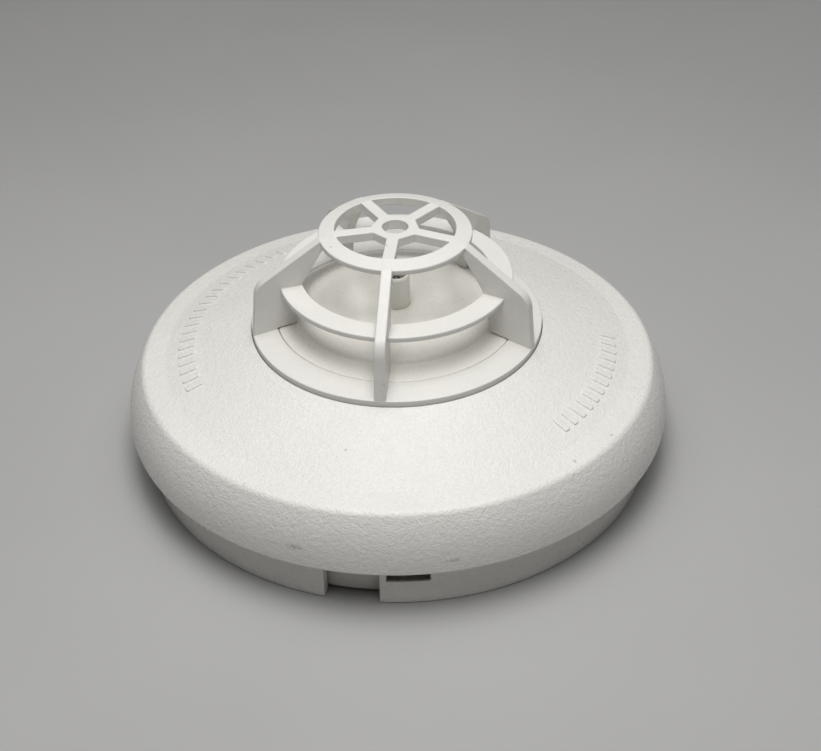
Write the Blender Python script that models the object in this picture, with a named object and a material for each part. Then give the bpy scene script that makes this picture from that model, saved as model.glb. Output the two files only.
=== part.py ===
"""Plug-in heat sensor head for a fire alarm system, standing on its mounting skirt.

The origin is the centre of the skirt's foot and +Z points along the sensor's axis, out of the
ceiling base and towards the room. Dimensions are in millimetres; MM turns them into metres.
Radii and heights are written as (radius, height) pairs, azimuths in degrees from +X.
"""
import math

import bmesh
import bpy
from mathutils import Matrix, Vector

MM = 0.001
GAP = 0.3                      # clearance left between neighbouring pieces

# Roundness of the turned pieces
BIG_STEPS = 72
MID_STEPS = 48
TUBE_STEPS = 24
SMALL_STEPS = 16

# Outer cover: a shallow cone, a flatter land, a tight roll and a curved side wall
COVER_RADIUS = 62.0
COVER_FOOT_Z = 11.2
COVER_WALL = 2.0
COVER_HOLE_RADIUS = 33.0
COVER_HOLE_Z = 31.2
CONE_ANGLE = 17.8
LAND_START_RADIUS = 52.6
LAND_ANGLE = 9.0
LAND_END_RADIUS = 57.05
ROLL_RADIUS = 2.0              # no larger than the wall, so the inside has a plain corner
SIDE_START_ANGLE = 56.0        # steepness where the roll meets the side wall
RIB_COUNT = 6
RIB_WIDTH = 2.0
RIB_ROOT = 0.2                 # how far a rib reaches into the cover's wall
RIB_FOOT_Z = 12.2
RIB_TOP_Z = 18.0
RIB_FIRST_AZIMUTH = 50.0

# Heat cage: five fins that carry a ring plate and a top ring
FIN_COUNT = 5
FIN_FIRST_AZIMUTH = -90.0
FIN_THICKNESS = 2.4
FIN_SHOULDER = (31.44, 44.46)  # where the sloping edge of a fin turns down
FIN_SHOULDER_ROUND = 5.0
FIN_SHOULDER_STEPS = 4
FIN_ROOT = 0.1                 # how far the fins stay inside or rise above the rings
FIN_FOOT_Z = 31.92
FIN_FOOT_INNER = 28.1
FIN_HEEL_Z = 33.79
FIN_INNER_EDGE = ((22.8, 34.75), (22.2, 39.0), (21.4, 43.0), (20.9, 44.6), (15.6, 53.2))
CAGE_TOP_Z = 55.3
TOP_RING_INNER = 13.2
TOP_RING_OUTER = 16.75
TOP_RING_OUTER_Z = 54.35
TOP_RING_FOOT_Z = 53.2
HUB_CORNER_RADIUS = 6.1
HUB_HOLE_RADIUS = 2.85
HUB_MARGIN = 1.6               # the spokes start this far outside the hub's hole
PLATE_INNER = 21.0
PLATE_OUTER = 25.9
PLATE_INNER_Z = 44.1
PLATE_OUTER_Z = 43.8
PLATE_FOOT_Z = 42.55
BASE_RING_INNER = 27.1
BASE_RING_OUTER = 32.7
BASE_RING_INNER_Z = 33.54
BASE_RING_OUTER_Z = 32.42
BASE_RING_UNDER_Z = 31.0
BASE_RING_WALL = 1.6
FLANGE_RADIUS = 35.6
FLANGE_TOP_Z = 27.3
FLANGE_THICKNESS = 1.2

# Sensor floor: raised middle, rolled edge, crease and sloping band
STAGE_Z = 35.8
STAGE_RADIUS = 17.5
STAGE_ROLL_WIDTH = 5.77
STAGE_ROLL_DROP = 2.8
STAGE_ROLL_END = 30.0          # angle on the roll where it meets the crease
CREASE_RADIUS = 22.5
CREASE_Z = 34.4
FLOOR_EDGE_Z = 33.45
FLOOR_WALL = 1.6
FLOOR_LIP_RADIUS = 30.6
LEG_COUNT = 3
LEG_RADIUS = 2.4
LEG_CIRCLE = 28.0
LEG_FIRST_AZIMUTH = 0.0

# Probe tube and thermistor
TUBE_RADIUS = 3.0
TUBE_BORE = 2.0
TUBE_TOP_Z = 43.4
TUBE_FOOT_Z = 29.0
TUBE_CHAMFER = 0.5
COLLAR_RADIUS = 4.6
COLLAR_TOP_Z = 33.8
COLLAR_THICKNESS = 1.4
BEAD_RADIUS = 1.25
BEAD_STRETCH = 1.25            # length of the bead over its width
BEAD_Z = 41.2
LEAD_RADIUS = 0.25
LEAD_OFFSET = 0.6

# Mounting skirt with its bayonet entries
SKIRT_RADIUS = 58.4
SKIRT_WALL = 2.4
SKIRT_TOP_Z = 16.0
RING_FLANGE_INNER = 47.5
RING_FLANGE_THICKNESS = 2.0
ENTRY_COUNT = 3
ENTRY_START = 260.9
ENTRY_SPAN = 11.4
ENTRY_TOP_Z = 10.5
SLOT_START = 273.7
SLOT_SPAN = 8.9
SLOT_FOOT_Z = 6.1
SLOT_BACK_RADIUS = 46.0
CUT_MARGIN = 1.0               # how far a cutting guide reaches past the surface it opens

# Chassis: the cup inside the skirt
CHASSIS_WALL = 2.0
CHASSIS_FOOT_Z = 1.0
CHASSIS_FLOOR_Z = 8.0
CHASSIS_FLOOR_TOP_Z = 9.8
POST_FOOT_Z = 9.2              # the posts are rooted this low in the floor
PILOT_FOOT_Z = 10.0            # lowest point of the screw holes in the posts
SLOT_RELIEF = 0.5              # the chassis is cut this much lower than the skirt's slot
SCREW_COUNT = 3
RING_SCREW_CIRCLE = 51.0
RING_SCREW_AZIMUTH = 320.0
RING_BOSS_RADIUS = 3.3
POST_RADIUS = 3.0
POST_CIRCLE = 38.0
POST_AZIMUTH = 60.0
SCREW_HOLE = 1.6
SCREW_SHANK = 1.3
SCREW_HEAD = 2.9
SCREW_HEAD_HEIGHT = 1.6
SCREW_EDGE = 0.7
SCREW_TIP = 0.6
CROSS_ARM = 1.7
CROSS_HALF_WIDTH = 0.35
CROSS_DEPTH = 0.9
RING_SCREW_LENGTH = 5.6
BOARD_SCREW_LENGTH = 6.4

# Circuit board and what stands on it
BOARD_RADIUS = 45.0
BOARD_Z = 15.3
BOARD_THICKNESS = 1.6
CHIP_PLACE = (13.0, 12.0)
CHIP_WIDTH = 9.0
CHIP_HEIGHT = 1.5
CHIP_CHAMFER = 0.25
CHIP_DIMPLE = (-3.0, 3.0, 0.5, 0.2)    # x, y, radius, depth
CAN_PLACE = (-16.0, 12.0)
CAN_RADIUS = 4.0
CAN_HEIGHT = 9.0
CAN_CRIMP_Z = 2.0
CAN_CRIMP_DEPTH = 0.4
CAN_RIM = 0.4
VARISTOR_PLACE = (-14.0, -14.0)
VARISTOR_TURN = 40.0
VARISTOR_RADIUS = 4.2
VARISTOR_HALF_WIDTH = 1.5
VARISTOR_EDGE = 1.0
REED_X = 36.0
REED_Z = 20.4
REED_RADIUS = 1.3
REED_HALF_LENGTH = 6.5
REED_LEAD_REACH = 2.0

# Contacts under the chassis floor
CONTACT_COUNT = 4
CONTACT_CIRCLE = 38.0
CONTACT_AZIMUTH = 15.0
BLADE_Z = 7.25
BLADE_THICKNESS = 0.5
BLADE_WIDTH = 5.5
BLADE_ROOT = 4.0
BLADE_BEND = 14.0
BLADE_TIP = 17.0
BLADE_DROP = 4.2
BLADE_TIP_RISE = 1.0
RIVET_RADIUS = 1.5
RIVET_HEAD_RADIUS = 2.6
RIVET_HEAD_HEIGHT = 0.9
RIVET_HEAD_EDGE = 0.4
RIVET_HEAD_CROWN = 0.8

# Blank label under the chassis floor
LABEL_WIDTH = 34.0
LABEL_DEPTH = 20.0
LABEL_CORNER = 2.5
LABEL_THICKNESS = 0.4


def clear_scene():
    for item in list(bpy.data.objects):
        bpy.data.objects.remove(item, do_unlink=True)


def make_material(name, color, roughness, metallic=0.0):
    material = bpy.data.materials.new(name)
    material.use_nodes = True
    shader = material.node_tree.nodes["Principled BSDF"]
    shader.inputs["Base Color"].default_value = (*color, 1.0)
    shader.inputs["Roughness"].default_value = roughness
    shader.inputs["Metallic"].default_value = metallic
    material.diffuse_color = (*color, 1.0)
    return material


def place(name, data, material, x=0.0, y=0.0, z=0.0):
    """Link an object at a place given in millimetres."""
    item = bpy.data.objects.new(name, data)
    item.location = (x * MM, y * MM, z * MM)
    if material:
        data.materials.append(material)
    bpy.context.scene.collection.objects.link(item)
    return item


def polar(radius, azimuth):
    angle = math.radians(azimuth)
    return radius * math.cos(angle), radius * math.sin(angle)


def azimuths(count, first):
    return [first + 360.0 * index / count for index in range(count)]


def arc(center, radius, start, end, steps, squash=1.0):
    """Points of an arc in the (radius, height) plane, angles from the radial direction."""
    points = []
    for index in range(steps + 1):
        angle = math.radians(start + (end - start) * index / steps)
        points.append((center[0] + radius * math.cos(angle),
                       center[1] + radius * squash * math.sin(angle)))
    return points


def mesh_from(bm, name):
    bmesh.ops.recalc_face_normals(bm, faces=bm.faces)
    mesh = bpy.data.meshes.new(name)
    bm.to_mesh(mesh)
    bm.free()
    return mesh


def smooth(item, angle=35.0):
    mesh = item.data
    mesh.shade_smooth()
    mesh.set_sharp_from_angle(angle=math.radians(angle))


def turned(name, outline, material, steps=BIG_STEPS, x=0.0, y=0.0, z=0.0):
    """Turn a closed outline about the local Z axis; it runs down its outer side."""
    points = [(radius * MM, 0.0, height * MM) for radius, height in outline]
    edges = [(index, (index + 1) % len(points)) for index in range(len(points))]
    if outline[0][0] == 0.0:
        edges.pop()
    mesh = bpy.data.meshes.new(name)
    mesh.from_pydata(points, edges, [])
    item = place(name, mesh, material, x, y, z)
    screw = item.modifiers.new("Turn", "SCREW")
    screw.steps = steps
    screw.render_steps = steps
    screw.use_merge_vertices = True
    screw.merge_threshold = 0.00001
    screw.use_smooth_shade = True
    return item


def add_slab(bm, outline, low, high, turn=None):
    """Add one closed slab: an outline in XY, from height low to high, then turned in place."""
    corners = [bm.verts.new((px * MM, py * MM, low * MM)) for px, py in outline]
    face = bm.faces.new(corners)
    grown = bmesh.ops.extrude_face_region(bm, geom=[face])
    top = [part for part in grown["geom"] if isinstance(part, bmesh.types.BMVert)]
    bmesh.ops.translate(bm, vec=(0.0, 0.0, (high - low) * MM), verts=top)
    if turn is not None:
        bmesh.ops.transform(bm, matrix=turn, verts=corners + top)


def slab(name, outline, low, high, material, x=0.0, y=0.0):
    bm = bmesh.new()
    add_slab(bm, outline, low, high)
    return place(name, mesh_from(bm, name), material, x, y)


def rectangle(width, depth):
    return [(-width / 2, -depth / 2), (width / 2, -depth / 2),
            (width / 2, depth / 2), (-width / 2, depth / 2)]


def rounded_rectangle(width, depth, radius, steps=4):
    outline = []
    for index, (sx, sy) in enumerate(((1, 1), (-1, 1), (-1, -1), (1, -1))):
        center = (sx * (width / 2 - radius), sy * (depth / 2 - radius))
        outline += arc(center, radius, 90.0 * index, 90.0 * (index + 1), steps)
    return outline


def sector(inner, outer, start, span, steps=4):
    """Outline in XY of a piece of a ring."""
    outside = [polar(outer, start + span * index / steps) for index in range(steps + 1)]
    inside = [polar(inner, start + span * index / steps) for index in range(steps, -1, -1)]
    return outside + inside


def combine(item, tool, operation):
    """Boolean with a tool object that is kept as a hidden guide."""
    tool.hide_render = True
    tool.display_type = "WIRE"
    modifier = item.modifiers.new(tool.name, "BOOLEAN")
    modifier.operation = operation
    modifier.solver = "EXACT"
    modifier.object = tool


def drill(item, holes, name):
    """Cut round holes; each is (x, y, radius, low, high) in the item's own frame."""
    bm = bmesh.new()
    for x, y, radius, low, high in holes:
        outline = [polar(radius, azimuth) for azimuth in azimuths(SMALL_STEPS, 0.0)]
        outline = [(x + px, y + py) for px, py in outline]
        add_slab(bm, outline, low, high)
    tool = place(name, mesh_from(bm, name), None)
    tool.matrix_world = item.matrix_basis
    combine(item, tool, "DIFFERENCE")


def rod(name, points, radius, material):
    """Round wire through points given in millimetres."""
    curve = bpy.data.curves.new(name, "CURVE")
    curve.dimensions = "3D"
    curve.bevel_depth = radius * MM
    curve.bevel_resolution = 2
    curve.use_fill_caps = True
    spline = curve.splines.new("POLY")
    spline.points.add(len(points) - 1)
    for target, (x, y, z) in zip(spline.points, points):
        target.co = (x * MM, y * MM, z * MM, 1.0)
    return place(name, curve, material)


def cover_outline():
    """Closed section of the cover: outside from the hole to the foot, inside back up."""
    cone = math.radians(CONE_ANGLE)
    land = math.radians(LAND_ANGLE)
    land_start_z = COVER_HOLE_Z - (LAND_START_RADIUS - COVER_HOLE_RADIUS) * math.tan(cone)
    land_end_z = land_start_z - (LAND_END_RADIUS - LAND_START_RADIUS) * math.tan(land)
    roll_center = (LAND_END_RADIUS - ROLL_RADIUS * math.sin(land),
                   land_end_z - ROLL_RADIUS * math.cos(land))
    side_angle = 90.0 - SIDE_START_ANGLE
    roll = arc(roll_center, ROLL_RADIUS, 90.0 - LAND_ANGLE, side_angle, 4)
    side_start = math.radians(side_angle)
    side_radius = (COVER_RADIUS - roll[-1][0]) / (1.0 - math.cos(side_start))
    side_center = (COVER_RADIUS - side_radius,
                   roll[-1][1] - side_radius * math.sin(side_start))
    side = arc(side_center, side_radius, side_angle, 0.0, 6)
    inside_side = arc(side_center, side_radius - COVER_WALL, 0.0, side_angle, 4)
    mean = (cone + land) / 2.0
    inside_land = (LAND_START_RADIUS - COVER_WALL * math.sin(mean),
                   land_start_z - COVER_WALL * math.cos(mean))
    hole_under_z = COVER_HOLE_Z - COVER_WALL / math.cos(cone)
    outline = [(COVER_HOLE_RADIUS, COVER_HOLE_Z), (LAND_START_RADIUS, land_start_z)]
    outline += roll + side[1:]
    outline += [(COVER_RADIUS, COVER_FOOT_Z), (COVER_RADIUS - COVER_WALL, COVER_FOOT_Z)]
    return outline + inside_side + [inside_land, (COVER_HOLE_RADIUS, hole_under_z)]


def build_outer_cover(material):
    cover = turned("outer_cover", cover_outline(), material)
    inner = SKIRT_RADIUS + GAP
    outer = COVER_RADIUS - COVER_WALL + RIB_ROOT
    bm = bmesh.new()
    for azimuth in azimuths(RIB_COUNT, RIB_FIRST_AZIMUTH):
        outline = [(inner, -RIB_WIDTH / 2), (outer, -RIB_WIDTH / 2),
                   (outer, RIB_WIDTH / 2), (inner, RIB_WIDTH / 2)]
        turn = Matrix.Rotation(math.radians(azimuth), 4, "Z")
        add_slab(bm, outline, RIB_FOOT_Z, RIB_TOP_Z, turn)
    ribs = place("cover_ribs", mesh_from(bm, "cover_ribs"), None)
    combine(cover, ribs, "UNION")


def base_ring_outline():
    """Section of the ring at the cage's foot, with the flange that lies under the cover."""
    flange_foot = FLANGE_TOP_Z - FLANGE_THICKNESS
    wall_inner = BASE_RING_OUTER - BASE_RING_WALL
    return [
        (BASE_RING_INNER, BASE_RING_INNER_Z), (BASE_RING_OUTER, BASE_RING_OUTER_Z),
        (BASE_RING_OUTER, FLANGE_TOP_Z), (FLANGE_RADIUS, FLANGE_TOP_Z),
        (FLANGE_RADIUS, flange_foot), (wall_inner, flange_foot),
        (wall_inner, BASE_RING_UNDER_Z), (BASE_RING_INNER, BASE_RING_UNDER_Z),
    ]


def round_corner(before, corner, after, radius, steps):
    """Points of the arc that replaces a corner of an outline."""
    corner = Vector(corner)
    back = (Vector(before) - corner).normalized()
    ahead = (Vector(after) - corner).normalized()
    half = back.angle(ahead) / 2.0
    center = corner + (back + ahead).normalized() * (radius / math.sin(half))
    start = corner + back * (radius / math.tan(half)) - center
    turn = start.angle_signed(corner + ahead * (radius / math.tan(half)) - center)
    points = []
    for index in range(steps + 1):
        step = start.copy()
        step.rotate(Matrix.Rotation(-turn * index / steps, 2))
        points.append(tuple(center + step))
    return points


def fin_outline():
    """Radial section of one fin with its spoke, from the hub to the base ring."""
    spoke_start = HUB_HOLE_RADIUS + HUB_MARGIN
    slope_start = (TOP_RING_OUTER - FIN_ROOT, TOP_RING_OUTER_Z + FIN_ROOT)
    foot = (BASE_RING_OUTER - FIN_ROOT, FIN_FOOT_Z)
    outline = [(spoke_start, CAGE_TOP_Z), (TOP_RING_INNER, CAGE_TOP_Z), slope_start]
    outline += round_corner(slope_start, FIN_SHOULDER, foot, FIN_SHOULDER_ROUND,
                            FIN_SHOULDER_STEPS)
    outline += [foot, (FIN_FOOT_INNER, FIN_FOOT_Z), (BASE_RING_INNER, FIN_HEEL_Z)]
    return outline + list(FIN_INNER_EDGE) + [(spoke_start, TOP_RING_FOOT_Z)]


def fin_set():
    """The five fins with their spokes, as one guide body each."""
    bm = bmesh.new()
    for azimuth in azimuths(FIN_COUNT, FIN_FIRST_AZIMUTH):
        stand_up = Matrix.Rotation(math.radians(90.0), 4, "X")
        turn = Matrix.Rotation(math.radians(azimuth), 4, "Z") @ stand_up
        add_slab(bm, fin_outline(), -FIN_THICKNESS / 2, FIN_THICKNESS / 2, turn)
    return place("cage_fins", mesh_from(bm, "cage_fins"), None)


def build_cage(material):
    cage = turned("cage", base_ring_outline(), material)
    top_ring = turned("cage_top_ring", [
        (TOP_RING_INNER, CAGE_TOP_Z), (TOP_RING_OUTER, TOP_RING_OUTER_Z),
        (TOP_RING_OUTER, TOP_RING_FOOT_Z), (TOP_RING_INNER, TOP_RING_FOOT_Z)], None, MID_STEPS)
    plate = turned("cage_plate", [
        (PLATE_INNER, PLATE_INNER_Z), (PLATE_OUTER, PLATE_OUTER_Z),
        (PLATE_OUTER, PLATE_FOOT_Z), (PLATE_INNER, PLATE_FOOT_Z)], None, MID_STEPS)
    corners = [polar(HUB_CORNER_RADIUS, azimuth)
               for azimuth in azimuths(FIN_COUNT, FIN_FIRST_AZIMUTH)]
    hub = slab("cage_hub", corners, TOP_RING_FOOT_Z, CAGE_TOP_Z, None)
    combine(cage, fin_set(), "UNION")
    for guide in (plate, top_ring, hub):
        combine(cage, guide, "UNION")
    hole = (0.0, 0.0, HUB_HOLE_RADIUS, TOP_RING_FOOT_Z - CUT_MARGIN, CAGE_TOP_Z + CUT_MARGIN)
    drill(cage, [hole], "hub_hole")


def build_cage_seal(material):
    """Soft ring between the cage's flange and the cover's underside."""
    slope = math.tan(math.radians(CONE_ANGLE))
    inner = BASE_RING_OUTER + 2 * GAP
    outer = FLANGE_RADIUS - GAP
    under_hole = COVER_HOLE_Z - COVER_WALL / math.cos(math.radians(CONE_ANGLE))
    foot = FLANGE_TOP_Z + GAP
    top_inner = under_hole - slope * (inner - COVER_HOLE_RADIUS) - GAP
    top_outer = under_hole - slope * (outer - COVER_HOLE_RADIUS) - GAP
    turned("cage_seal", [(inner, top_inner), (outer, top_outer), (outer, foot), (inner, foot)],
           material, MID_STEPS)


def build_sensor_floor(material):
    lip_z = BASE_RING_UNDER_Z - GAP
    edge = BASE_RING_INNER - GAP
    bore = TUBE_RADIUS + GAP
    roll = arc((STAGE_RADIUS, STAGE_Z - STAGE_ROLL_DROP), STAGE_ROLL_WIDTH, 90.0,
               STAGE_ROLL_END, 5, STAGE_ROLL_DROP / STAGE_ROLL_WIDTH)
    outline = [(bore, STAGE_Z)] + roll[:-1] + [
        (CREASE_RADIUS, CREASE_Z), (edge, FLOOR_EDGE_Z), (edge, lip_z), (FLOOR_LIP_RADIUS, lip_z),
        (FLOOR_LIP_RADIUS, lip_z - FLOOR_WALL), (edge - FLOOR_WALL, lip_z - FLOOR_WALL),
        (edge - FLOOR_WALL, FLOOR_EDGE_Z - FLOOR_WALL),
        (CREASE_RADIUS - FLOOR_WALL, CREASE_Z - FLOOR_WALL),
        (STAGE_RADIUS, STAGE_Z - FLOOR_WALL), (bore, STAGE_Z - FLOOR_WALL),
    ]
    floor = turned("sensor_floor", outline, material, MID_STEPS)
    board_top = BOARD_Z + BOARD_THICKNESS
    bm = bmesh.new()
    for azimuth in azimuths(LEG_COUNT, LEG_FIRST_AZIMUTH):
        x, y = polar(LEG_CIRCLE, azimuth)
        ring = [polar(LEG_RADIUS, side) for side in azimuths(SMALL_STEPS, 0.0)]
        add_slab(bm, [(x + px, y + py) for px, py in ring],
                 board_top + GAP, lip_z - FLOOR_WALL / 2)
    legs = place("floor_legs", mesh_from(bm, "floor_legs"), None)
    combine(floor, legs, "UNION")


def build_probe_tube(material):
    collar_foot = COLLAR_TOP_Z - COLLAR_THICKNESS
    rim = TUBE_TOP_Z - TUBE_CHAMFER
    turned("probe_tube", [
        (TUBE_BORE + TUBE_CHAMFER / 2, TUBE_TOP_Z), (TUBE_RADIUS - TUBE_CHAMFER / 2, TUBE_TOP_Z),
        (TUBE_RADIUS, rim), (TUBE_RADIUS, COLLAR_TOP_Z),
        (COLLAR_RADIUS, COLLAR_TOP_Z), (COLLAR_RADIUS, collar_foot), (TUBE_RADIUS, collar_foot),
        (TUBE_RADIUS, TUBE_FOOT_Z), (TUBE_BORE, TUBE_FOOT_Z), (TUBE_BORE, rim),
    ], material, TUBE_STEPS)


def build_thermistor(bead_material, wire_material):
    bead = arc((0.0, 0.0), BEAD_RADIUS, 90.0, -90.0, 8, BEAD_STRETCH)
    bead[0] = (0.0, bead[0][1])
    bead[-1] = (0.0, bead[-1][1])
    turned("thermistor_bead", bead, bead_material, SMALL_STEPS, z=BEAD_Z)
    top = BEAD_Z - BEAD_RADIUS * BEAD_STRETCH - GAP
    foot = BOARD_Z + BOARD_THICKNESS + GAP
    for number, x in enumerate((-LEAD_OFFSET, LEAD_OFFSET), start=1):
        rod(f"thermistor_lead_{number}", [(x, 0.0, foot), (x, 0.0, top)], LEAD_RADIUS,
            wire_material)


def entry_cutter(name, inner, outer, pockets):
    """Guide with one body for each (start, span, low, high) pocket at every bayonet entry."""
    bm = bmesh.new()
    for offset in azimuths(ENTRY_COUNT, 0.0):
        for start, span, low, high in pockets:
            add_slab(bm, sector(inner, outer, start + offset, span), low, high)
    return place(name, mesh_from(bm, name), None)


def build_mount_skirt(material):
    inner = SKIRT_RADIUS - SKIRT_WALL
    flange_foot = SKIRT_TOP_Z - RING_FLANGE_THICKNESS
    skirt = turned("mount_skirt", [
        (RING_FLANGE_INNER, SKIRT_TOP_Z), (SKIRT_RADIUS, SKIRT_TOP_Z), (SKIRT_RADIUS, 0.0),
        (inner, 0.0), (inner, flange_foot), (RING_FLANGE_INNER, flange_foot),
    ], material)
    pockets = [(ENTRY_START, ENTRY_SPAN, -CUT_MARGIN, ENTRY_TOP_Z),
               (SLOT_START, SLOT_SPAN, SLOT_FOOT_Z, ENTRY_TOP_Z)]
    cutter = entry_cutter("skirt_pockets", inner - CUT_MARGIN, SKIRT_RADIUS + CUT_MARGIN, pockets)
    combine(skirt, cutter, "DIFFERENCE")
    holes = []
    for azimuth in azimuths(SCREW_COUNT, RING_SCREW_AZIMUTH):
        x, y = polar(RING_SCREW_CIRCLE, azimuth)
        holes.append((x, y, SCREW_HOLE, flange_foot - CUT_MARGIN, SKIRT_TOP_Z + CUT_MARGIN))
    drill(skirt, holes, "skirt_holes")


def chassis_posts():
    """Bosses for the ring screws and posts for the board screws, each (x, y, radius, top)."""
    boss_top = SKIRT_TOP_Z - RING_FLANGE_THICKNESS - GAP
    posts = []
    for azimuth in azimuths(SCREW_COUNT, RING_SCREW_AZIMUTH):
        posts.append((*polar(RING_SCREW_CIRCLE, azimuth), RING_BOSS_RADIUS, boss_top))
    for azimuth in azimuths(SCREW_COUNT, POST_AZIMUTH):
        posts.append((*polar(POST_CIRCLE, azimuth), POST_RADIUS, BOARD_Z - GAP))
    return posts


def build_chassis(material):
    outer = SKIRT_RADIUS - SKIRT_WALL - GAP
    inner = outer - CHASSIS_WALL
    top = SKIRT_TOP_Z - RING_FLANGE_THICKNESS - GAP
    chassis = turned("chassis", [
        (inner, top), (outer, top), (outer, CHASSIS_FOOT_Z), (inner, CHASSIS_FOOT_Z),
        (inner, CHASSIS_FLOOR_Z), (0.0, CHASSIS_FLOOR_Z), (0.0, CHASSIS_FLOOR_TOP_Z),
        (inner, CHASSIS_FLOOR_TOP_Z),
    ], material)
    bm = bmesh.new()
    for x, y, radius, height in chassis_posts():
        ring = [polar(radius, side) for side in azimuths(SMALL_STEPS, 0.0)]
        add_slab(bm, [(x + px, y + py) for px, py in ring], POST_FOOT_Z, height)
    posts = place("chassis_posts", mesh_from(bm, "chassis_posts"), None)
    combine(chassis, posts, "UNION")
    slots = [(SLOT_START, SLOT_SPAN, SLOT_FOOT_Z - SLOT_RELIEF, ENTRY_TOP_Z)]
    cutter = entry_cutter("chassis_slots", SLOT_BACK_RADIUS, outer + CUT_MARGIN, slots)
    combine(chassis, cutter, "DIFFERENCE")
    holes = [(x, y, SCREW_HOLE, PILOT_FOOT_Z, height + CUT_MARGIN)
             for x, y, radius, height in chassis_posts()]
    for azimuth in azimuths(CONTACT_COUNT, CONTACT_AZIMUTH):
        x, y = polar(CONTACT_CIRCLE, azimuth)
        holes.append((x, y, RIVET_RADIUS + GAP, CHASSIS_FLOOR_Z - CUT_MARGIN,
                      CHASSIS_FLOOR_TOP_Z + CUT_MARGIN))
    drill(chassis, holes, "chassis_holes")


def build_screw(name, at, seat_z, length, material):
    """Pan-head screw with a cross recess, its head standing on seat_z."""
    head_top = SCREW_HEAD_HEIGHT
    outline = [(0.0, head_top), (SCREW_HEAD - SCREW_EDGE, head_top),
               (SCREW_HEAD, head_top - SCREW_EDGE), (SCREW_HEAD, 0.0), (SCREW_SHANK, 0.0),
               (SCREW_SHANK, SCREW_TIP - length), (0.0, -length)]
    x, y = at
    screw = turned(name, outline, material, SMALL_STEPS, x, y, seat_z)
    arm, half = CROSS_ARM, CROSS_HALF_WIDTH
    cross = [(arm, -half), (arm, half), (half, half), (half, arm), (-half, arm), (-half, half),
             (-arm, half), (-arm, -half), (-half, -half), (-half, -arm), (half, -arm),
             (half, -half)]
    bm = bmesh.new()
    add_slab(bm, cross, head_top - CROSS_DEPTH, head_top + CUT_MARGIN)
    tool = place(f"{name}_cross", mesh_from(bm, f"{name}_cross"), None, x, y, seat_z)
    combine(screw, tool, "DIFFERENCE")


def build_screws(material):
    for number, azimuth in enumerate(azimuths(SCREW_COUNT, RING_SCREW_AZIMUTH), start=1):
        build_screw(f"ring_screw_{number}", polar(RING_SCREW_CIRCLE, azimuth),
                    SKIRT_TOP_Z + GAP, RING_SCREW_LENGTH, material)
    for number, azimuth in enumerate(azimuths(SCREW_COUNT, POST_AZIMUTH), start=1):
        build_screw(f"board_screw_{number}", polar(POST_CIRCLE, azimuth),
                    BOARD_Z + BOARD_THICKNESS + GAP, BOARD_SCREW_LENGTH, material)


def build_circuit_board(material):
    board = turned("circuit_board", [
        (0.0, BOARD_Z + BOARD_THICKNESS), (BOARD_RADIUS, BOARD_Z + BOARD_THICKNESS),
        (BOARD_RADIUS, BOARD_Z), (0.0, BOARD_Z)], material, MID_STEPS)
    holes = [(*polar(POST_CIRCLE, azimuth), SCREW_HOLE, BOARD_Z - CUT_MARGIN,
              BOARD_Z + BOARD_THICKNESS + CUT_MARGIN)
             for azimuth in azimuths(SCREW_COUNT, POST_AZIMUTH)]
    drill(board, holes, "board_holes")


def build_microcontroller(material):
    """Flat chip package with chamfered edges and a pin-one dimple."""
    foot = BOARD_Z + BOARD_THICKNESS + GAP
    top = foot + CHIP_HEIGHT
    chip = slab("microcontroller", rectangle(CHIP_WIDTH, CHIP_WIDTH), foot, top, material,
                *CHIP_PLACE)
    edge = chip.modifiers.new("Chamfer", "BEVEL")
    edge.width = CHIP_CHAMFER * MM
    edge.segments = 1
    x, y, radius, depth = CHIP_DIMPLE
    drill(chip, [(x, y, radius, top - depth, top + CUT_MARGIN)], "chip_dimple")


def build_capacitor(material):
    """Can capacitor with the crimp groove near its foot and a raised rim on top."""
    outline = [
        (0.0, CAN_HEIGHT - CAN_RIM), (CAN_RADIUS - 3 * CAN_RIM, CAN_HEIGHT - CAN_RIM),
        (CAN_RADIUS - 2 * CAN_RIM, CAN_HEIGHT), (CAN_RADIUS - CAN_RIM, CAN_HEIGHT),
        (CAN_RADIUS, CAN_HEIGHT - CAN_RIM), (CAN_RADIUS, CAN_CRIMP_Z + CAN_CRIMP_DEPTH),
        (CAN_RADIUS - CAN_CRIMP_DEPTH, CAN_CRIMP_Z), (CAN_RADIUS, CAN_CRIMP_Z - CAN_CRIMP_DEPTH),
        (CAN_RADIUS, 0.0), (0.0, 0.0),
    ]
    turned("capacitor", outline, material, SMALL_STEPS, *CAN_PLACE,
           BOARD_Z + BOARD_THICKNESS + GAP)


def build_varistor(material):
    """Coated disc standing on its edge."""
    flat = VARISTOR_RADIUS - VARISTOR_EDGE
    side = VARISTOR_HALF_WIDTH - VARISTOR_EDGE
    outline = [(0.0, VARISTOR_HALF_WIDTH)] + arc((flat, side), VARISTOR_EDGE, 90.0, 0.0, 3)
    outline += arc((flat, -side), VARISTOR_EDGE, 0.0, -90.0, 3) + [(0.0, -VARISTOR_HALF_WIDTH)]
    item = turned("varistor", outline, material, SMALL_STEPS, *VARISTOR_PLACE,
                  BOARD_Z + BOARD_THICKNESS + GAP + VARISTOR_RADIUS)
    item.rotation_euler = (math.radians(90.0), 0.0, math.radians(VARISTOR_TURN))


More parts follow.
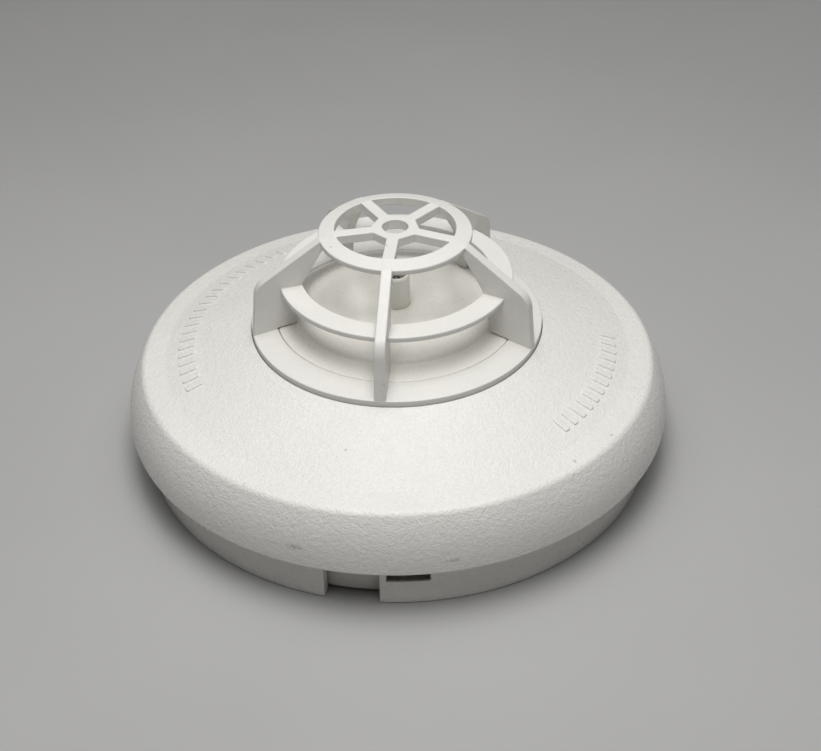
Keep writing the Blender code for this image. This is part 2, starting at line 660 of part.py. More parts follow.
def build_reed_switch(glass_material, wire_material):
    """Glass capsule lying along Y near the board's rim, on two bent leads."""
    end = arc((0.0, REED_HALF_LENGTH - REED_RADIUS), REED_RADIUS, 90.0, 0.0, 4)
    other = arc((0.0, REED_RADIUS - REED_HALF_LENGTH), REED_RADIUS, 0.0, -90.0, 4)
    end[0] = (0.0, end[0][1])
    other[-1] = (0.0, other[-1][1])
    item = turned("reed_switch", end + other, glass_material, SMALL_STEPS, REED_X, 0.0, REED_Z)
    item.rotation_euler = (math.radians(90.0), 0.0, 0.0)
    foot = BOARD_Z + BOARD_THICKNESS + GAP
    for number, side in enumerate((-1.0, 1.0), start=1):
        near = side * (REED_HALF_LENGTH + GAP)
        far = side * (REED_HALF_LENGTH + REED_LEAD_REACH)
        rod(f"reed_lead_{number}", [(REED_X, near, REED_Z), (REED_X, far, REED_Z),
                                    (REED_X, far, foot)], LEAD_RADIUS, wire_material)


def blade_outline():
    """Side view of a contact blade, (along, height) from the rivet's centre."""
    middle = [(-BLADE_ROOT, 0.0), (BLADE_ROOT, 0.0), (BLADE_BEND, -BLADE_DROP),
              (BLADE_TIP, BLADE_TIP_RISE - BLADE_DROP)]
    half = BLADE_THICKNESS / 2
    lower = [(along, height - half) for along, height in middle]
    upper = [(along, height + half) for along, height in reversed(middle)]
    return lower + upper


def build_contacts(blade_material, rivet_material):
    """Sprung blades; each blade's origin is on its flexing line at the rivet."""
    upright = Matrix.Rotation(math.radians(90.0), 4, "Z") @ Matrix.Rotation(
        math.radians(90.0), 4, "X")
    for number, azimuth in enumerate(azimuths(CONTACT_COUNT, CONTACT_AZIMUTH), start=1):
        x, y = polar(CONTACT_CIRCLE, azimuth)
        bm = bmesh.new()
        add_slab(bm, blade_outline(), -BLADE_WIDTH / 2, BLADE_WIDTH / 2, upright)
        name = f"contact_blade_{number}"
        blade = place(name, mesh_from(bm, name), blade_material, x, y, BLADE_Z)
        blade.rotation_euler = (0.0, 0.0, math.radians(azimuth))
        drill(blade, [(0.0, 0.0, RIVET_RADIUS + GAP, -CUT_MARGIN, CUT_MARGIN)], f"{name}_hole")
        head_top = BLADE_Z - BLADE_THICKNESS / 2 - GAP
        turned(f"contact_rivet_{number}", [
            (0.0, BOARD_Z - GAP), (RIVET_RADIUS, BOARD_Z - GAP), (RIVET_RADIUS, head_top),
            (RIVET_HEAD_RADIUS, head_top), (RIVET_HEAD_RADIUS, head_top - RIVET_HEAD_EDGE),
            (RIVET_HEAD_RADIUS - RIVET_HEAD_CROWN, head_top - RIVET_HEAD_HEIGHT),
            (0.0, head_top - RIVET_HEAD_HEIGHT),
        ], rivet_material, SMALL_STEPS, x, y)


def build_back_label(material):
    top = CHASSIS_FLOOR_Z - GAP
    outline = rounded_rectangle(LABEL_WIDTH, LABEL_DEPTH, LABEL_CORNER)
    slab("back_label", outline, top - LABEL_THICKNESS, top, material)


def shade_round_pieces():
    for item in bpy.data.objects:
        if item.type == "MESH" and not item.hide_render and item.data.polygons:
            smooth(item)


def main():
    clear_scene()
    white = make_material("white_plastic", (0.80, 0.79, 0.75), 0.55)
    ivory = make_material("floor_plastic", (0.66, 0.64, 0.60), 0.40)
    steel = make_material("screw_steel", (0.62, 0.62, 0.62), 0.30, 1.0)
    brass = make_material("contact_brass", (0.80, 0.66, 0.36), 0.30, 1.0)
    build_outer_cover(white)
    build_cage(make_material("cage_plastic", (0.83, 0.82, 0.79), 0.50))
    build_cage_seal(make_material("seal_rubber", (0.05, 0.05, 0.05), 0.80))
    build_sensor_floor(ivory)
    build_probe_tube(ivory)
    build_thermistor(make_material("bead_epoxy", (0.05, 0.05, 0.06), 0.35), steel)
    build_mount_skirt(white)
    build_chassis(make_material("chassis_plastic", (0.72, 0.71, 0.67), 0.60))
    build_screws(steel)
    build_circuit_board(make_material("board_laminate", (0.05, 0.22, 0.10), 0.50))
    build_microcontroller(make_material("chip_resin", (0.03, 0.03, 0.03), 0.60))
    build_capacitor(make_material("can_aluminium", (0.70, 0.70, 0.72), 0.30, 1.0))
    build_varistor(make_material("varistor_coat", (0.05, 0.15, 0.45), 0.40))
    build_reed_switch(make_material("reed_glass", (0.55, 0.68, 0.60), 0.08), steel)
    build_contacts(brass, steel)
    build_back_label(make_material("label_film", (0.85, 0.85, 0.85), 0.50))
    shade_round_pieces()


main()
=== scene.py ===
"""Looks of a plug-in heat sensor head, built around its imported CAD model.

Lengths are in millimetres unless a name says otherwise; MM turns them into metres. Outlines are
lists of (radius, height, fillet) corners. Azimuths are in degrees from +X. Heights and radii that
the CAD model settles are read from the boxes of its nodes.
"""

import math

import bmesh
import bpy
from mathutils import Matrix, Vector


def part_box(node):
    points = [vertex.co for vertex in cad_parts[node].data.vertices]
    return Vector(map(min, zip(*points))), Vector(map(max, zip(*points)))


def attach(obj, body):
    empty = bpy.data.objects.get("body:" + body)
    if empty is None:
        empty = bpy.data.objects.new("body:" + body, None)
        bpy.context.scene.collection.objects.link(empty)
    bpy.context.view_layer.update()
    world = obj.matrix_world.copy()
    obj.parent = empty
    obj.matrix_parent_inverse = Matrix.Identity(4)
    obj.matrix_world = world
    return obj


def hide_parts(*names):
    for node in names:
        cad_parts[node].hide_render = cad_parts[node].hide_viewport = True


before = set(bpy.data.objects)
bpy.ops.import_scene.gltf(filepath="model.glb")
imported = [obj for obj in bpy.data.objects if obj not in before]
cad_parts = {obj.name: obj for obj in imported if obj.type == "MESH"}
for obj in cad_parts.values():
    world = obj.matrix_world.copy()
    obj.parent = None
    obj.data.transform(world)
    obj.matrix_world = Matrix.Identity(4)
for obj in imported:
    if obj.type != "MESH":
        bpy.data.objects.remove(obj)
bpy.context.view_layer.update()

MM = 0.001
GAP = 0.3                       # clearance between neighbouring CAD pieces
SNUG = 0.15                     # visible gap where neighbouring pieces nearly touch
CUT_MARGIN = 1.0                # how far a cutting tool reaches past the surface it opens
WELD_DISTANCE = 0.002           # corners nearer than this are joined after a cut
FINE_STEPS = 288                # roundness of the big turned pieces
MID_STEPS = 192
TUBE_STEPS = 96
SMALL_STEPS = 48

# Section of the cover
COVER_WALL = 2.0
HOLE_RADIUS = 33.0
CONE_ANGLE = 17.8
LAND_START_RADIUS = 52.6
LAND_ANGLE = 9.0
LAND_END_RADIUS = 57.05
ROLL_RADIUS = 2.0
SIDE_START_ANGLE = 56.0
RIB_COUNT = 6
RIB_FIRST_AZIMUTH = 50.0
RIB_TOP_Z = 18.0
RIB_WIDTH = 2.0
RIB_ROOT = 0.2                  # how far a rib reaches into the cover's wall
RIB_LIFT = 1.0                  # how far a rib stays above the cover's foot

# Plain raised bars on the cone: rows of (first azimuth, last azimuth)
BAR_RADIUS = 47.8
BAR_ROWS = ((322.0, 365.5), (133.5, 208.5))
BAR_SPACING = 3.0
BAR_WIDTH = 1.5
BAR_LENGTH = 4.0
BAR_HEIGHT = 0.25
BAR_ROOT = 0.3                  # how far a bar reaches into the cone
BAR_ROUND = 0.4                 # largest corner radius of a bar seen from above

# Cage
FIN_COUNT = 5
FIN_FIRST_AZIMUTH = -90.0
FIN_THICKNESS = 2.35
FIN_SHOULDER = (31.44, 44.46, 5.0)
FIN_INNER_EDGE = ((22.8, 34.5, 0.4), (22.2, 39.0, 0.0), (21.4, 43.0, 0.0), (20.9, 44.6, 1.2))
FIN_NECK_RADIUS = 15.6          # where the inner edge of a fin meets the top ring
FIN_TONGUE_RADIUS = 12.0        # a fin ends here, inside a spoke
FIN_FOOT_DEPTH = 0.5            # how far a fin reaches into the base ring
CAGE_INSET = 0.05               # keeps faces of joined parts of the cage apart
CAGE_EDGE = 0.2                 # rounding of the cage's edges
FIN_EDGE = 0.22
SPOKE_THICKNESS = 2.65
SPOKE_LAP = 0.7                 # how far a spoke reaches into the top ring
SPOKE_LAP_DROP = 0.4            # and how far it stays below the ring's upper face there
TOP_RING_OUTER = 16.75
TOP_RING_OUTER_Z = 54.35
TOP_RING_INNER = 13.2
TOP_RING_FOOT_Z = 53.2
HUB_CORNER_RADIUS = 6.1
HUB_HOLE_RADIUS = 2.85
HUB_MARGIN = 1.6                # the spokes start this far outside the hub's hole
HUB_CORNER_ROUND = 0.5
PLATE_OUTER = 25.9
PLATE_OUTER_Z = 43.8
PLATE_INNER = 21.0
PLATE_INNER_Z = 44.1
PLATE_FOOT_Z = 42.55
BASE_RING_OUTER = 32.7
BASE_RING_OUTER_Z = 32.42
BASE_RING_INNER = 27.1
BASE_RING_INNER_Z = 33.54
BASE_RING_UNDER_Z = 31.0
BASE_RING_WALL = 1.6
FLANGE_TOP_Z = 27.3
SEAL_CLEARANCE = 0.6            # between the seal and the wall of the base ring

# Sensor floor and probe tube
STAGE_RADIUS = 17.5
STAGE_ROLL_WIDTH = 5.77
STAGE_ROLL_DROP = 2.8
STAGE_ROLL_END = 30.0
CREASE_RADIUS = 22.5
CREASE_Z = 34.4
FLOOR_EDGE_Z = 33.45
FLOOR_WALL = 1.6
LEG_COUNT = 3
LEG_RADIUS = 2.4
LEG_CIRCLE = 28.0
TUBE_RADIUS = 3.0
TUBE_BORE = 2.0
TUBE_CHAMFER = 0.5
TUBE_FIT = 0.05                 # clearance of the tube in the sensor floor
COLLAR_TOP_Z = 33.8
COLLAR_THICKNESS = 1.4

# Skirt and chassis
SKIRT_WALL = 2.4
RING_FLANGE_INNER = 47.5
RING_FLANGE_THICKNESS = 2.0
ENTRY_COUNT = 3
ENTRY_START = 260.9
ENTRY_SPAN = 11.4
ENTRY_TOP_Z = 10.5
SLOT_START = 273.7
SLOT_SPAN = 8.9
SLOT_FOOT_Z = 6.1
SLOT_BACK_RADIUS = 46.0
SLOT_LIP = 0.5                  # thickness of the skirt along the foot of a slot
SLOT_RELIEF = 2.6               # how much lower the walls are cut behind that lip
CHASSIS_WALL = 2.0
CHASSIS_FLOOR_Z = 8.0
CHASSIS_FLOOR_TOP_Z = 9.8
SCREW_COUNT = 3
RING_SCREW_CIRCLE = 51.0
RING_SCREW_AZIMUTH = 320.0
RING_BOSS_RADIUS = 3.3
POST_RADIUS = 3.0
POST_CIRCLE = 38.0
POST_AZIMUTH = 60.0
POST_ROOT = 0.6                 # how far a post reaches into the chassis floor
PILOT_LIFT = 0.2                # the screw holes end this far above the floor
SCREW_HOLE = 1.6
SCREW_SHANK = 1.3
SCREW_HEAD_HEIGHT = 1.6
SCREW_TIP = 0.6
CROSS_ARM = 1.7                 # half length and half width of the cross in a screw's head
CROSS_HALF = 0.35
CROSS_DEPTH = 0.9
CONTACT_COUNT = 4
CONTACT_CIRCLE = 38.0
CONTACT_AZIMUTH = 15.0
RIVET_RADIUS = 1.5
RIVET_HEAD_HEIGHT = 0.9

# Parts on the board
CAPACITOR_GROOVE_Z = 2.0
CAPACITOR_GROOVE_DEPTH = 0.4
VARISTOR_THICKNESS = 3.0
VARISTOR_AZIMUTH = 40.0
DIMPLE_OFFSET = 3.0             # of the mark on the chip, from its middle
DIMPLE_RADIUS = 0.5
DIMPLE_DEPTH = 0.2

# Materials
MOULDED_EDGE = 0.35             # width of the rounded, polished edge of a moulding
# colour of the darkening in corners and hollows: partly dust, partly painted shade
DUST_AND_SHADE = (0.36, 0.31, 0.25)
TRACK_CELL = 5.2                # size of the cells that the board's tracks run between
LABEL_RULE_SPACING = 3.2

# Scuffs and specks: (place, half sizes, azimuth, strength, colour)
DARK = (0.34, 0.33, 0.31)
RUST = (0.45, 0.33, 0.26)
COVER_SPOTS = (
    ((-14.2, -59.9, 15.7), (1.5, 2.0, 0.6), 256.0, 0.55, DARK),
    ((17.7, -59.2, 14.2), (1.2, 1.9, 0.5), 287.0, 0.42, DARK),
    ((40.7, -38.6, 24.4), (0.45, 0.35, 0.6), 316.0, 0.6, RUST),
    ((48.4, -29.2, 24.3), (0.4, 0.3, 0.6), 329.0, 0.55, DARK),
    ((-5.9, -43.3, 27.6), (0.35, 0.3, 0.6), 262.0, 0.6, DARK),
    ((-25.4, -51.3, 23.9), (0.4, 0.3, 0.6), 244.0, 0.5, DARK),
)
CAGE_SPOTS = (
    ((-12.8, -8.7, 54.7), (0.4, 0.3, 0.6), 214.0, 0.6, DARK),
    ((-0.9, -7.9, 55.3), (0.5, 0.25, 0.5), 265.0, 0.5, DARK),
    ((0.7, -32.4, 36.4), (0.35, 0.4, 0.6), 271.0, 0.4, DARK),
)

# Camera in millimetres; light and floor in metres
CAMERA_AT = (30.8, -258.3, 204.6)
CAMERA_AIM = (2.9, 0.3, 15.4)
CAMERA_ROLL = -0.7
LENS_MM = 60.45
SENSOR_MM = 36.0
LAMP_AT = (0.008, -0.075, 0.41)
LAMP_SIZE = (0.16, 0.34)
LAMP_WATTS = 1.16
CEILING_AT = (0.0, 0.0, 2.25)
CEILING_SIZE = (3.25, 3.25)
CEILING_WATTS = 27.0
LAMP_AIM = (0.0, -0.03, 0.0)
LAMP_COLOR = (1.0, 0.99, 0.975)
ROOM_LIGHT = 0.05
ROOM_COLOR = (0.95, 0.97, 1.0)
FLOOR_RADIUS = 12.0
FLOOR_DARK = (0.41, 0.41, 0.41)
FLOOR_LIGHT = (0.43, 0.43, 0.425)
FLOOR_ROUGHNESS = 0.85
FLOOR_CLOUD = 120.0             # size of the floor's faint patches, in millimetres
CLIP_START = 0.01
CLIP_END = 40.0


def box_mm(node):
    low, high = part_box(node)
    return low / MM, high / MM


def polar(radius, azimuth):
    angle = math.radians(azimuth)
    return radius * math.cos(angle), radius * math.sin(angle)


def azimuths(count, first):
    return [first + 360.0 * index / count for index in range(count)]


def arc(center, radius, start, end, steps, squash=1.0):
    points = []
    for index in range(steps + 1):
        angle = math.radians(start + (end - start) * index / steps)
        points.append((center[0] + radius * math.cos(angle),
                       center[1] + radius * squash * math.sin(angle), 0.0))
    return points


def soften(corners, steps=4):
    """Round every corner (x, y, fillet radius) of a closed outline."""
    points = []
    for index, (x, y, radius) in enumerate(corners):
        if radius == 0.0:
            points.append((x, y))
            continue
        here = Vector((x, y))
        before = (Vector(corners[index - 1][:2]) - here).normalized()
        after = (Vector(corners[(index + 1) % len(corners)][:2]) - here).normalized()
        half = before.angle(after) / 2
        center = here + (before + after).normalized() * (radius / math.sin(half))
        start = here + before * (radius / math.tan(half)) - center
        end = here + after * (radius / math.tan(half)) - center
        sweep = start.angle_signed(end)
        for step in range(steps + 1):
            spoke = start.copy()
            spoke.rotate(Matrix.Rotation(-sweep * step / steps, 2))
            points.append(tuple(center + spoke))
    return points


def add_turned(bm, outline, steps):
    """Turn a closed (radius, height) outline about the Z axis."""
    rings = []
    for radius, height in outline:
        count = steps if radius > 0.0001 else 1
        rings.append([bm.verts.new((*(v * MM for v in polar(radius, azimuth)), height * MM))
                      for azimuth in azimuths(count, 0.0)])
    for index, ring in enumerate(rings):
        other = rings[(index + 1) % len(rings)]
        for step in range(steps):
            after = (step + 1) % steps
            if len(ring) == 1 and len(other) == 1:
                break
            if len(ring) == 1:
                bm.faces.new((ring[0], other[after], other[step]))
            elif len(other) == 1:
                bm.faces.new((ring[step], ring[after], other[0]))
            else:
                bm.faces.new((ring[step], ring[after], other[after], other[step]))


def add_slab(bm, outline, low, high, turn=None):
    """Closed slab over an XY outline, from height low to high, then turned in place."""
    corners = [bm.verts.new((x * MM, y * MM, low * MM)) for x, y in outline]
    face = bm.faces.new(corners)
    grown = bmesh.ops.extrude_face_region(bm, geom=[face])
    top = [part for part in grown["geom"] if isinstance(part, bmesh.types.BMVert)]
    bmesh.ops.translate(bm, vec=(0.0, 0.0, (high - low) * MM), verts=top)
    if turn is not None:
        bmesh.ops.transform(bm, matrix=turn, verts=corners + top)


def round_edges(bm, width, segments=3, least_angle=40.0):
    """Round the sharp edges of everything in bm."""
    bmesh.ops.recalc_face_normals(bm, faces=bm.faces)
    sharp = [edge for edge in bm.edges
             if edge.is_manifold and edge.calc_face_angle() > math.radians(least_angle)]
    bmesh.ops.bevel(bm, geom=sharp, offset=width * MM, segments=segments, profile=0.5,
                    affect="EDGES", clamp_overlap=True)


def link(name, bm):
    bmesh.ops.recalc_face_normals(bm, faces=bm.faces)
    mesh = bpy.data.meshes.new(name)
    bm.to_mesh(mesh)
    bm.free()
    item = bpy.data.objects.new(name, mesh)
    bpy.context.scene.collection.objects.link(item)
    return item


def combine(item, tool, operation):
    """Boolean with a tool object, applied at once; the tool is then removed."""
    modifier = item.modifiers.new("Combine", "BOOLEAN")
    modifier.operation = operation
    modifier.solver = "EXACT"
    modifier.object = tool
    depsgraph = bpy.context.evaluated_depsgraph_get()
    result = bpy.data.meshes.new_from_object(item.evaluated_get(depsgraph))
    item.modifiers.clear()
    item.data = result
    bpy.data.objects.remove(tool, do_unlink=True)
    weld(result)


def weld(mesh):
    """Join corners that all but touch and drop faces with no area."""
    bm = bmesh.new()
    bm.from_mesh(mesh)
    bmesh.ops.remove_doubles(bm, verts=bm.verts, dist=WELD_DISTANCE * MM)
    bmesh.ops.dissolve_degenerate(bm, edges=bm.edges, dist=WELD_DISTANCE * MM)
    bm.to_mesh(mesh)
    bm.free()


def drill(item, holes, sides=SMALL_STEPS):
    """Cut round holes, each (x, y, radius, low, high)."""
    bm = bmesh.new()
    for x, y, radius, low, high in holes:
        ring = [polar(radius, azimuth) for azimuth in azimuths(sides, 0.0)]
        add_slab(bm, [(x + px, y + py) for px, py in ring], low, high)
    combine(item, link("drill", bm), "DIFFERENCE")


def dress(item, slot, body, nodes=(), sharp=32.0):
    """Smooth shading, material, body and the CAD nodes that the piece stands for."""
    item.data.materials.clear()
    item.data.materials.append(looks[slot])
    item.data.shade_smooth()
    item.data.set_sharp_from_angle(angle=math.radians(sharp))
    weighted = item.modifiers.new("Flat faces stay flat", "WEIGHTED_NORMAL")
    weighted.keep_sharp = True
    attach(item, body)
    if nodes:
        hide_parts(*nodes)
    return item


def turned(name, corners, slot, body, nodes, steps, at=(0.0, 0.0, 0.0), turn=None):
    """A turned piece from softened corners, moved to a place given in millimetres."""
    bm = bmesh.new()
    add_turned(bm, soften(corners), steps)
    if turn is not None:
        bmesh.ops.transform(bm, matrix=turn, verts=bm.verts)
    bmesh.ops.translate(bm, vec=Vector(at) * MM, verts=bm.verts)
    return dress(link(name, bm), slot, body, nodes)


# ---------------------------------------------------------------- materials

class Nodes:
    """Small helper that adds nodes to one material and joins them."""

    def __init__(self, name):
        self.material = bpy.data.materials.new(name)
        self.material.use_nodes = True
        self.tree = self.material.node_tree
        self.shader = self.tree.nodes["Principled BSDF"]
        self.place = self.add("ShaderNodeTexCoord").outputs["Object"]

    def add(self, kind, **settings):
        node = self.tree.nodes.new(kind)
        for key, value in settings.items():
            setattr(node, key, value)
        return node

    def join(self, value, socket):
        if isinstance(value, bpy.types.NodeSocket):
            self.tree.links.new(value, socket)
        else:
            socket.default_value = value

    def stretch(self, scale):
        node = self.add("ShaderNodeMapping")
        self.join(self.place, node.inputs["Vector"])
        node.inputs["Scale"].default_value = scale
        return node.outputs["Vector"]

    def noise(self, size, detail=2.0, roughness=0.5, place=None, distortion=0.0):
        """Cloudy noise whose patches are about size millimetres across."""
        node = self.add("ShaderNodeTexNoise")
        self.join(self.place if place is None else place, node.inputs["Vector"])
        node.inputs["Scale"].default_value = 1.0 / (size * MM)
        node.inputs["Detail"].default_value = detail
        node.inputs["Roughness"].default_value = roughness
        node.inputs["Distortion"].default_value = distortion
        return node.outputs["Fac"]

    def span(self, value, low, high, to_low=0.0, to_high=1.0):
        """Map value from low..high to to_low..to_high, clamped and smooth."""
        node = self.add("ShaderNodeMapRange", interpolation_type="SMOOTHSTEP")
        self.join(value, node.inputs["Value"])
        node.inputs["From Min"].default_value = low
        node.inputs["From Max"].default_value = high
        node.inputs["To Min"].default_value = to_low
        node.inputs["To Max"].default_value = to_high
        return node.outputs["Result"]

    def math(self, operation, first, second=0.0):
        node = self.add("ShaderNodeMath", operation=operation)
        self.join(first, node.inputs[0])
        self.join(second, node.inputs[1])
        return node.outputs[0]

    def mix(self, factor, first, second):
        node = self.add("ShaderNodeMix", data_type="RGBA")
        self.join(factor, node.inputs[0])
        self.join(first, node.inputs[6])
        self.join(second, node.inputs[7])
        return node.outputs[2]

    def edges(self, radius):
        """(rounded normal, mask of the edges) for edges about radius millimetres wide."""
        bevel = self.add("ShaderNodeBevel", samples=4)
        bevel.inputs["Radius"].default_value = radius * MM
        plain = self.add("ShaderNodeNewGeometry").outputs["Normal"]
        dot = self.add("ShaderNodeVectorMath", operation="DOT_PRODUCT")
        self.join(bevel.outputs["Normal"], dot.inputs[0])
        self.join(plain, dot.inputs[1])
        return bevel.outputs["Normal"], self.span(dot.outputs["Value"], 0.995, 0.9)

    def hollows(self, distance):
        """Mask that is 1 deep in corners and hollows and 0 in the open."""
        node = self.add("ShaderNodeAmbientOcclusion", samples=6)
        node.inputs["Distance"].default_value = distance * MM
        return self.span(node.outputs["AO"], 0.75, 0.2)

    def bump(self, height, depth, strength=1.0, normal=None):
        node = self.add("ShaderNodeBump")
        node.inputs["Strength"].default_value = strength
        node.inputs["Distance"].default_value = depth * MM
        self.join(height, node.inputs["Height"])
        if normal is not None:
            self.join(normal, node.inputs["Normal"])
        return node.outputs["Normal"]

    def finish(self, color, roughness, normal=None, **constants):
        self.join(color, self.shader.inputs["Base Color"])
        self.join(roughness, self.shader.inputs["Roughness"])
        if normal is not None:
            self.join(normal, self.shader.inputs["Normal"])
        for key, value in constants.items():
            self.shader.inputs[key.replace("_", " ")].default_value = value
        return self.material


def rgb(red, green, blue):
    return (red, green, blue, 1.0)


def shade(color, factor):
    return (color[0] * factor, color[1] * factor, color[2] * factor, 1.0)


def moulded(name, color, roughness, grain, grain_depth, grain_tint=0.2, dust_and_shade=0.35, reach=2.2,
            spots=()):
    """Moulded plastic: eroded grain, faint clouding, polished edges, dust and painted shade in
    corners.

    grain and grain_depth are the size and the relief of the grain in millimetres, grain_tint its
    contrast, dust_and_shade the strength of the dust and painted shade in corners and reach how
    far out of a corner it comes (mm).
    """
    n = Nodes(name)
    fine = n.noise(grain, 3.0, 0.6)
    coarse = n.noise(grain * 2.6, 2.0, 0.5)
    cloud = n.noise(26.0, 3.0, 0.55)
    blotch = n.noise(3.5, 3.0, 0.6)
    normal, worn = n.edges(MOULDED_EDGE)
    tint = n.mix(n.span(cloud, 0.3, 0.7), shade(color, 0.965), color)
    tint = n.mix(n.span(blotch, 0.35, 0.7, 0.0, 0.35), tint, shade(color, 0.94))
    tint = n.mix(n.span(fine, 0.30, 0.70, grain_tint, 0.0), tint, shade(color, 0.70))
    tint = n.mix(n.math("MULTIPLY", worn, 0.35), tint, shade(color, 1.05))
    # darkening in corners and hollows, found by ambient occlusion: partly dust, partly painted
    # shade
    dust_and_shade_mask = n.math("MULTIPLY", n.hollows(reach), n.span(blotch, 0.2, 0.8, dust_and_shade * 0.6, dust_and_shade))
    tint = n.mix(dust_and_shade_mask, tint, rgb(*DUST_AND_SHADE))
    for spot in spots:
        tint = n.mix(mark(n, *spot[:4]), tint, rgb(*spot[4]))
    rough = n.span(coarse, 0.25, 0.75, roughness - 0.05, roughness + 0.07)
    rough = n.math("SUBTRACT", rough, n.math("MULTIPLY", worn, 0.12))
    height = n.math("ADD", n.math("MULTIPLY", fine, 0.6), n.math("MULTIPLY", coarse, 0.6))
    return n.finish(tint, rough, n.bump(height, grain_depth, 1.0, normal),
                    Specular_IOR_Level=0.5)


def mark(n, at, size, angle, strength):
    """Mask of one scuff: an ellipse of half sizes (mm) at a point, turned about Z."""
    node = n.add("ShaderNodeMapping", vector_type="TEXTURE")
    n.join(n.place, node.inputs["Vector"])
    node.inputs["Location"].default_value = [v * MM for v in at]
    node.inputs["Rotation"].default_value = (0.0, 0.0, math.radians(angle))
    node.inputs["Scale"].default_value = [v * MM for v in size]
    length = n.add("ShaderNodeVectorMath", operation="LENGTH")
    n.join(node.outputs["Vector"], length.inputs[0])
    ragged = n.math("ADD", length.outputs["Value"],
                    n.span(n.noise(0.5, 3.0, 0.7), 0.25, 0.75, -0.75, 0.75))
    return n.span(ragged, 1.15, 0.25, 0.0, strength)


def rubber(name):
    n = Nodes(name)
    grain = n.noise(0.4, 3.0)
    color = n.mix(n.span(n.noise(5.0, 3.0), 0.3, 0.7), rgb(0.018, 0.018, 0.019),
                  rgb(0.040, 0.039, 0.037))
    rough = n.span(grain, 0.3, 0.7, 0.62, 0.82)
    return n.finish(color, rough, n.bump(grain, 0.03))


def plated(name, base, dull, roughness, streak, scale=(1.0, 1.0, 1.0)):
    """Plated or rolled metal with streaks, tarnish patches and bright edges."""
    n = Nodes(name)
    lines = n.noise(streak, 4.0, 0.6, n.stretch(scale))
    patches = n.noise(1.8, 4.0, 0.6)
    normal, worn = n.edges(0.15)
    color = n.mix(n.span(patches, 0.4, 0.72, 0.0, 0.75), base, dull)
    color = n.mix(n.math("MULTIPLY", worn, 0.5), color, shade(base, 1.12))
    rough = n.span(lines, 0.25, 0.75, roughness - 0.08, roughness + 0.12)
    return n.finish(color, rough, n.bump(lines, 0.012, 0.7, normal), Metallic=1.0)


def laminate(name):
    """Solder mask over copper tracks, which show as raised lighter lines, and tinned pads."""
    n = Nodes(name)
    cells = n.add("ShaderNodeTexVoronoi", feature="DISTANCE_TO_EDGE")
    n.join(n.stretch((1.0, 1.0, 0.001)), cells.inputs["Vector"])
    cells.inputs["Scale"].default_value = 1.0 / (TRACK_CELL * MM)
    cells.inputs["Randomness"].default_value = 0.65
    track = n.span(cells.outputs["Distance"], 0.075, 0.05)
    pads = n.add("ShaderNodeTexVoronoi", feature="F1")
    n.join(n.stretch((1.0, 1.0, 0.001)), pads.inputs["Vector"])
    pads.inputs["Scale"].default_value = 1.0 / (TRACK_CELL * MM)
    pads.inputs["Randomness"].default_value = 0.65
    pad = n.span(pads.outputs["Distance"], 0.13, 0.11)
    weave = n.noise(0.5, 2.0)
    mask = n.mix(n.span(weave, 0.3, 0.7), rgb(0.006, 0.085, 0.035), rgb(0.008, 0.105, 0.045))
    color = n.mix(track, mask, rgb(0.018, 0.17, 0.075))
    color = n.mix(pad, color, rgb(0.58, 0.57, 0.53))
    rough = n.span(weave, 0.3, 0.7, 0.26, 0.38)
    height = n.math("ADD", n.math("MAXIMUM", track, pad), n.math("MULTIPLY", weave, 0.3))
    return n.finish(color, rough, n.bump(height, 0.035), Coat_Weight=0.4, Coat_Roughness=0.18)


def resin(name, color, roughness, peel, peel_depth, coat):
    """Cast resin or dipped coat with a fine peel."""
    n = Nodes(name)
    peel_noise = n.noise(peel, 2.0)
    normal, worn = n.edges(0.12)
    tint = n.mix(n.span(n.noise(2.4, 3.0), 0.3, 0.7), shade(color, 0.82), color)
    tint = n.mix(n.math("MULTIPLY", worn, 0.4), tint, shade(color, 1.5))
    rough = n.span(n.noise(0.8, 3.0), 0.3, 0.7, roughness - 0.06, roughness + 0.08)
    return n.finish(tint, rough, n.bump(peel_noise, peel_depth, 1.0, normal),
                    Coat_Weight=coat, Coat_Roughness=0.12)


def glass(name):
    n = Nodes(name)
    smear = n.noise(1.2, 3.0)
    color = n.mix(n.span(smear, 0.3, 0.7), rgb(0.80, 0.90, 0.84), rgb(0.90, 0.96, 0.92))
    rough = n.span(smear, 0.3, 0.7, 0.03, 0.10)
    return n.finish(color, rough, n.bump(n.noise(0.9), 0.01, 0.5), Transmission_Weight=0.85,
                    IOR=1.5)


def film(name, low, high):
    """White label film with a printed frame and plain rules, sized to its own box.

    Distances from the film's edge: the frame's line is 1.0 to 1.5 mm in, the rules start 3 mm in.
    """
    n = Nodes(name)
    split = n.add("ShaderNodeSeparateXYZ")
    n.join(n.place, split.inputs[0])
    half_x = (high.x - low.x) / 2 * MM
    half_y = (high.y - low.y) / 2 * MM
    from_x = n.math("ABSOLUTE", split.outputs["X"])
    from_y = n.math("ABSOLUTE", split.outputs["Y"])
    edge = n.math("MINIMUM", n.math("SUBTRACT", half_x, from_x),
                  n.math("SUBTRACT", half_y, from_y))
    line = n.math("MULTIPLY", n.span(edge, 1.0 * MM, 1.1 * MM), n.span(edge, 1.5 * MM, 1.4 * MM))
    rows = n.math("FRACT", n.math("DIVIDE", split.outputs["Y"], LABEL_RULE_SPACING * MM))
    rule = n.math("MULTIPLY", n.span(rows, 0.46, 0.48), n.span(rows, 0.56, 0.54))
    rule = n.math("MULTIPLY", rule, n.span(edge, 3.0 * MM, 3.1 * MM))
    ink = n.math("MAXIMUM", line, n.math("MULTIPLY", rule, 0.7))
    paper = n.mix(n.span(n.noise(6.0, 4.0), 0.3, 0.7), rgb(0.70, 0.70, 0.68),
                  rgb(0.78, 0.78, 0.76))
    color = n.mix(ink, paper, rgb(0.10, 0.10, 0.11))
    rough = n.span(n.noise(0.6, 3.0), 0.3, 0.7, 0.34, 0.46)
    return n.finish(color, rough, n.bump(n.noise(2.5, 3.0), 0.02, 0.6), Coat_Weight=0.2,
                    Coat_Roughness=0.3)


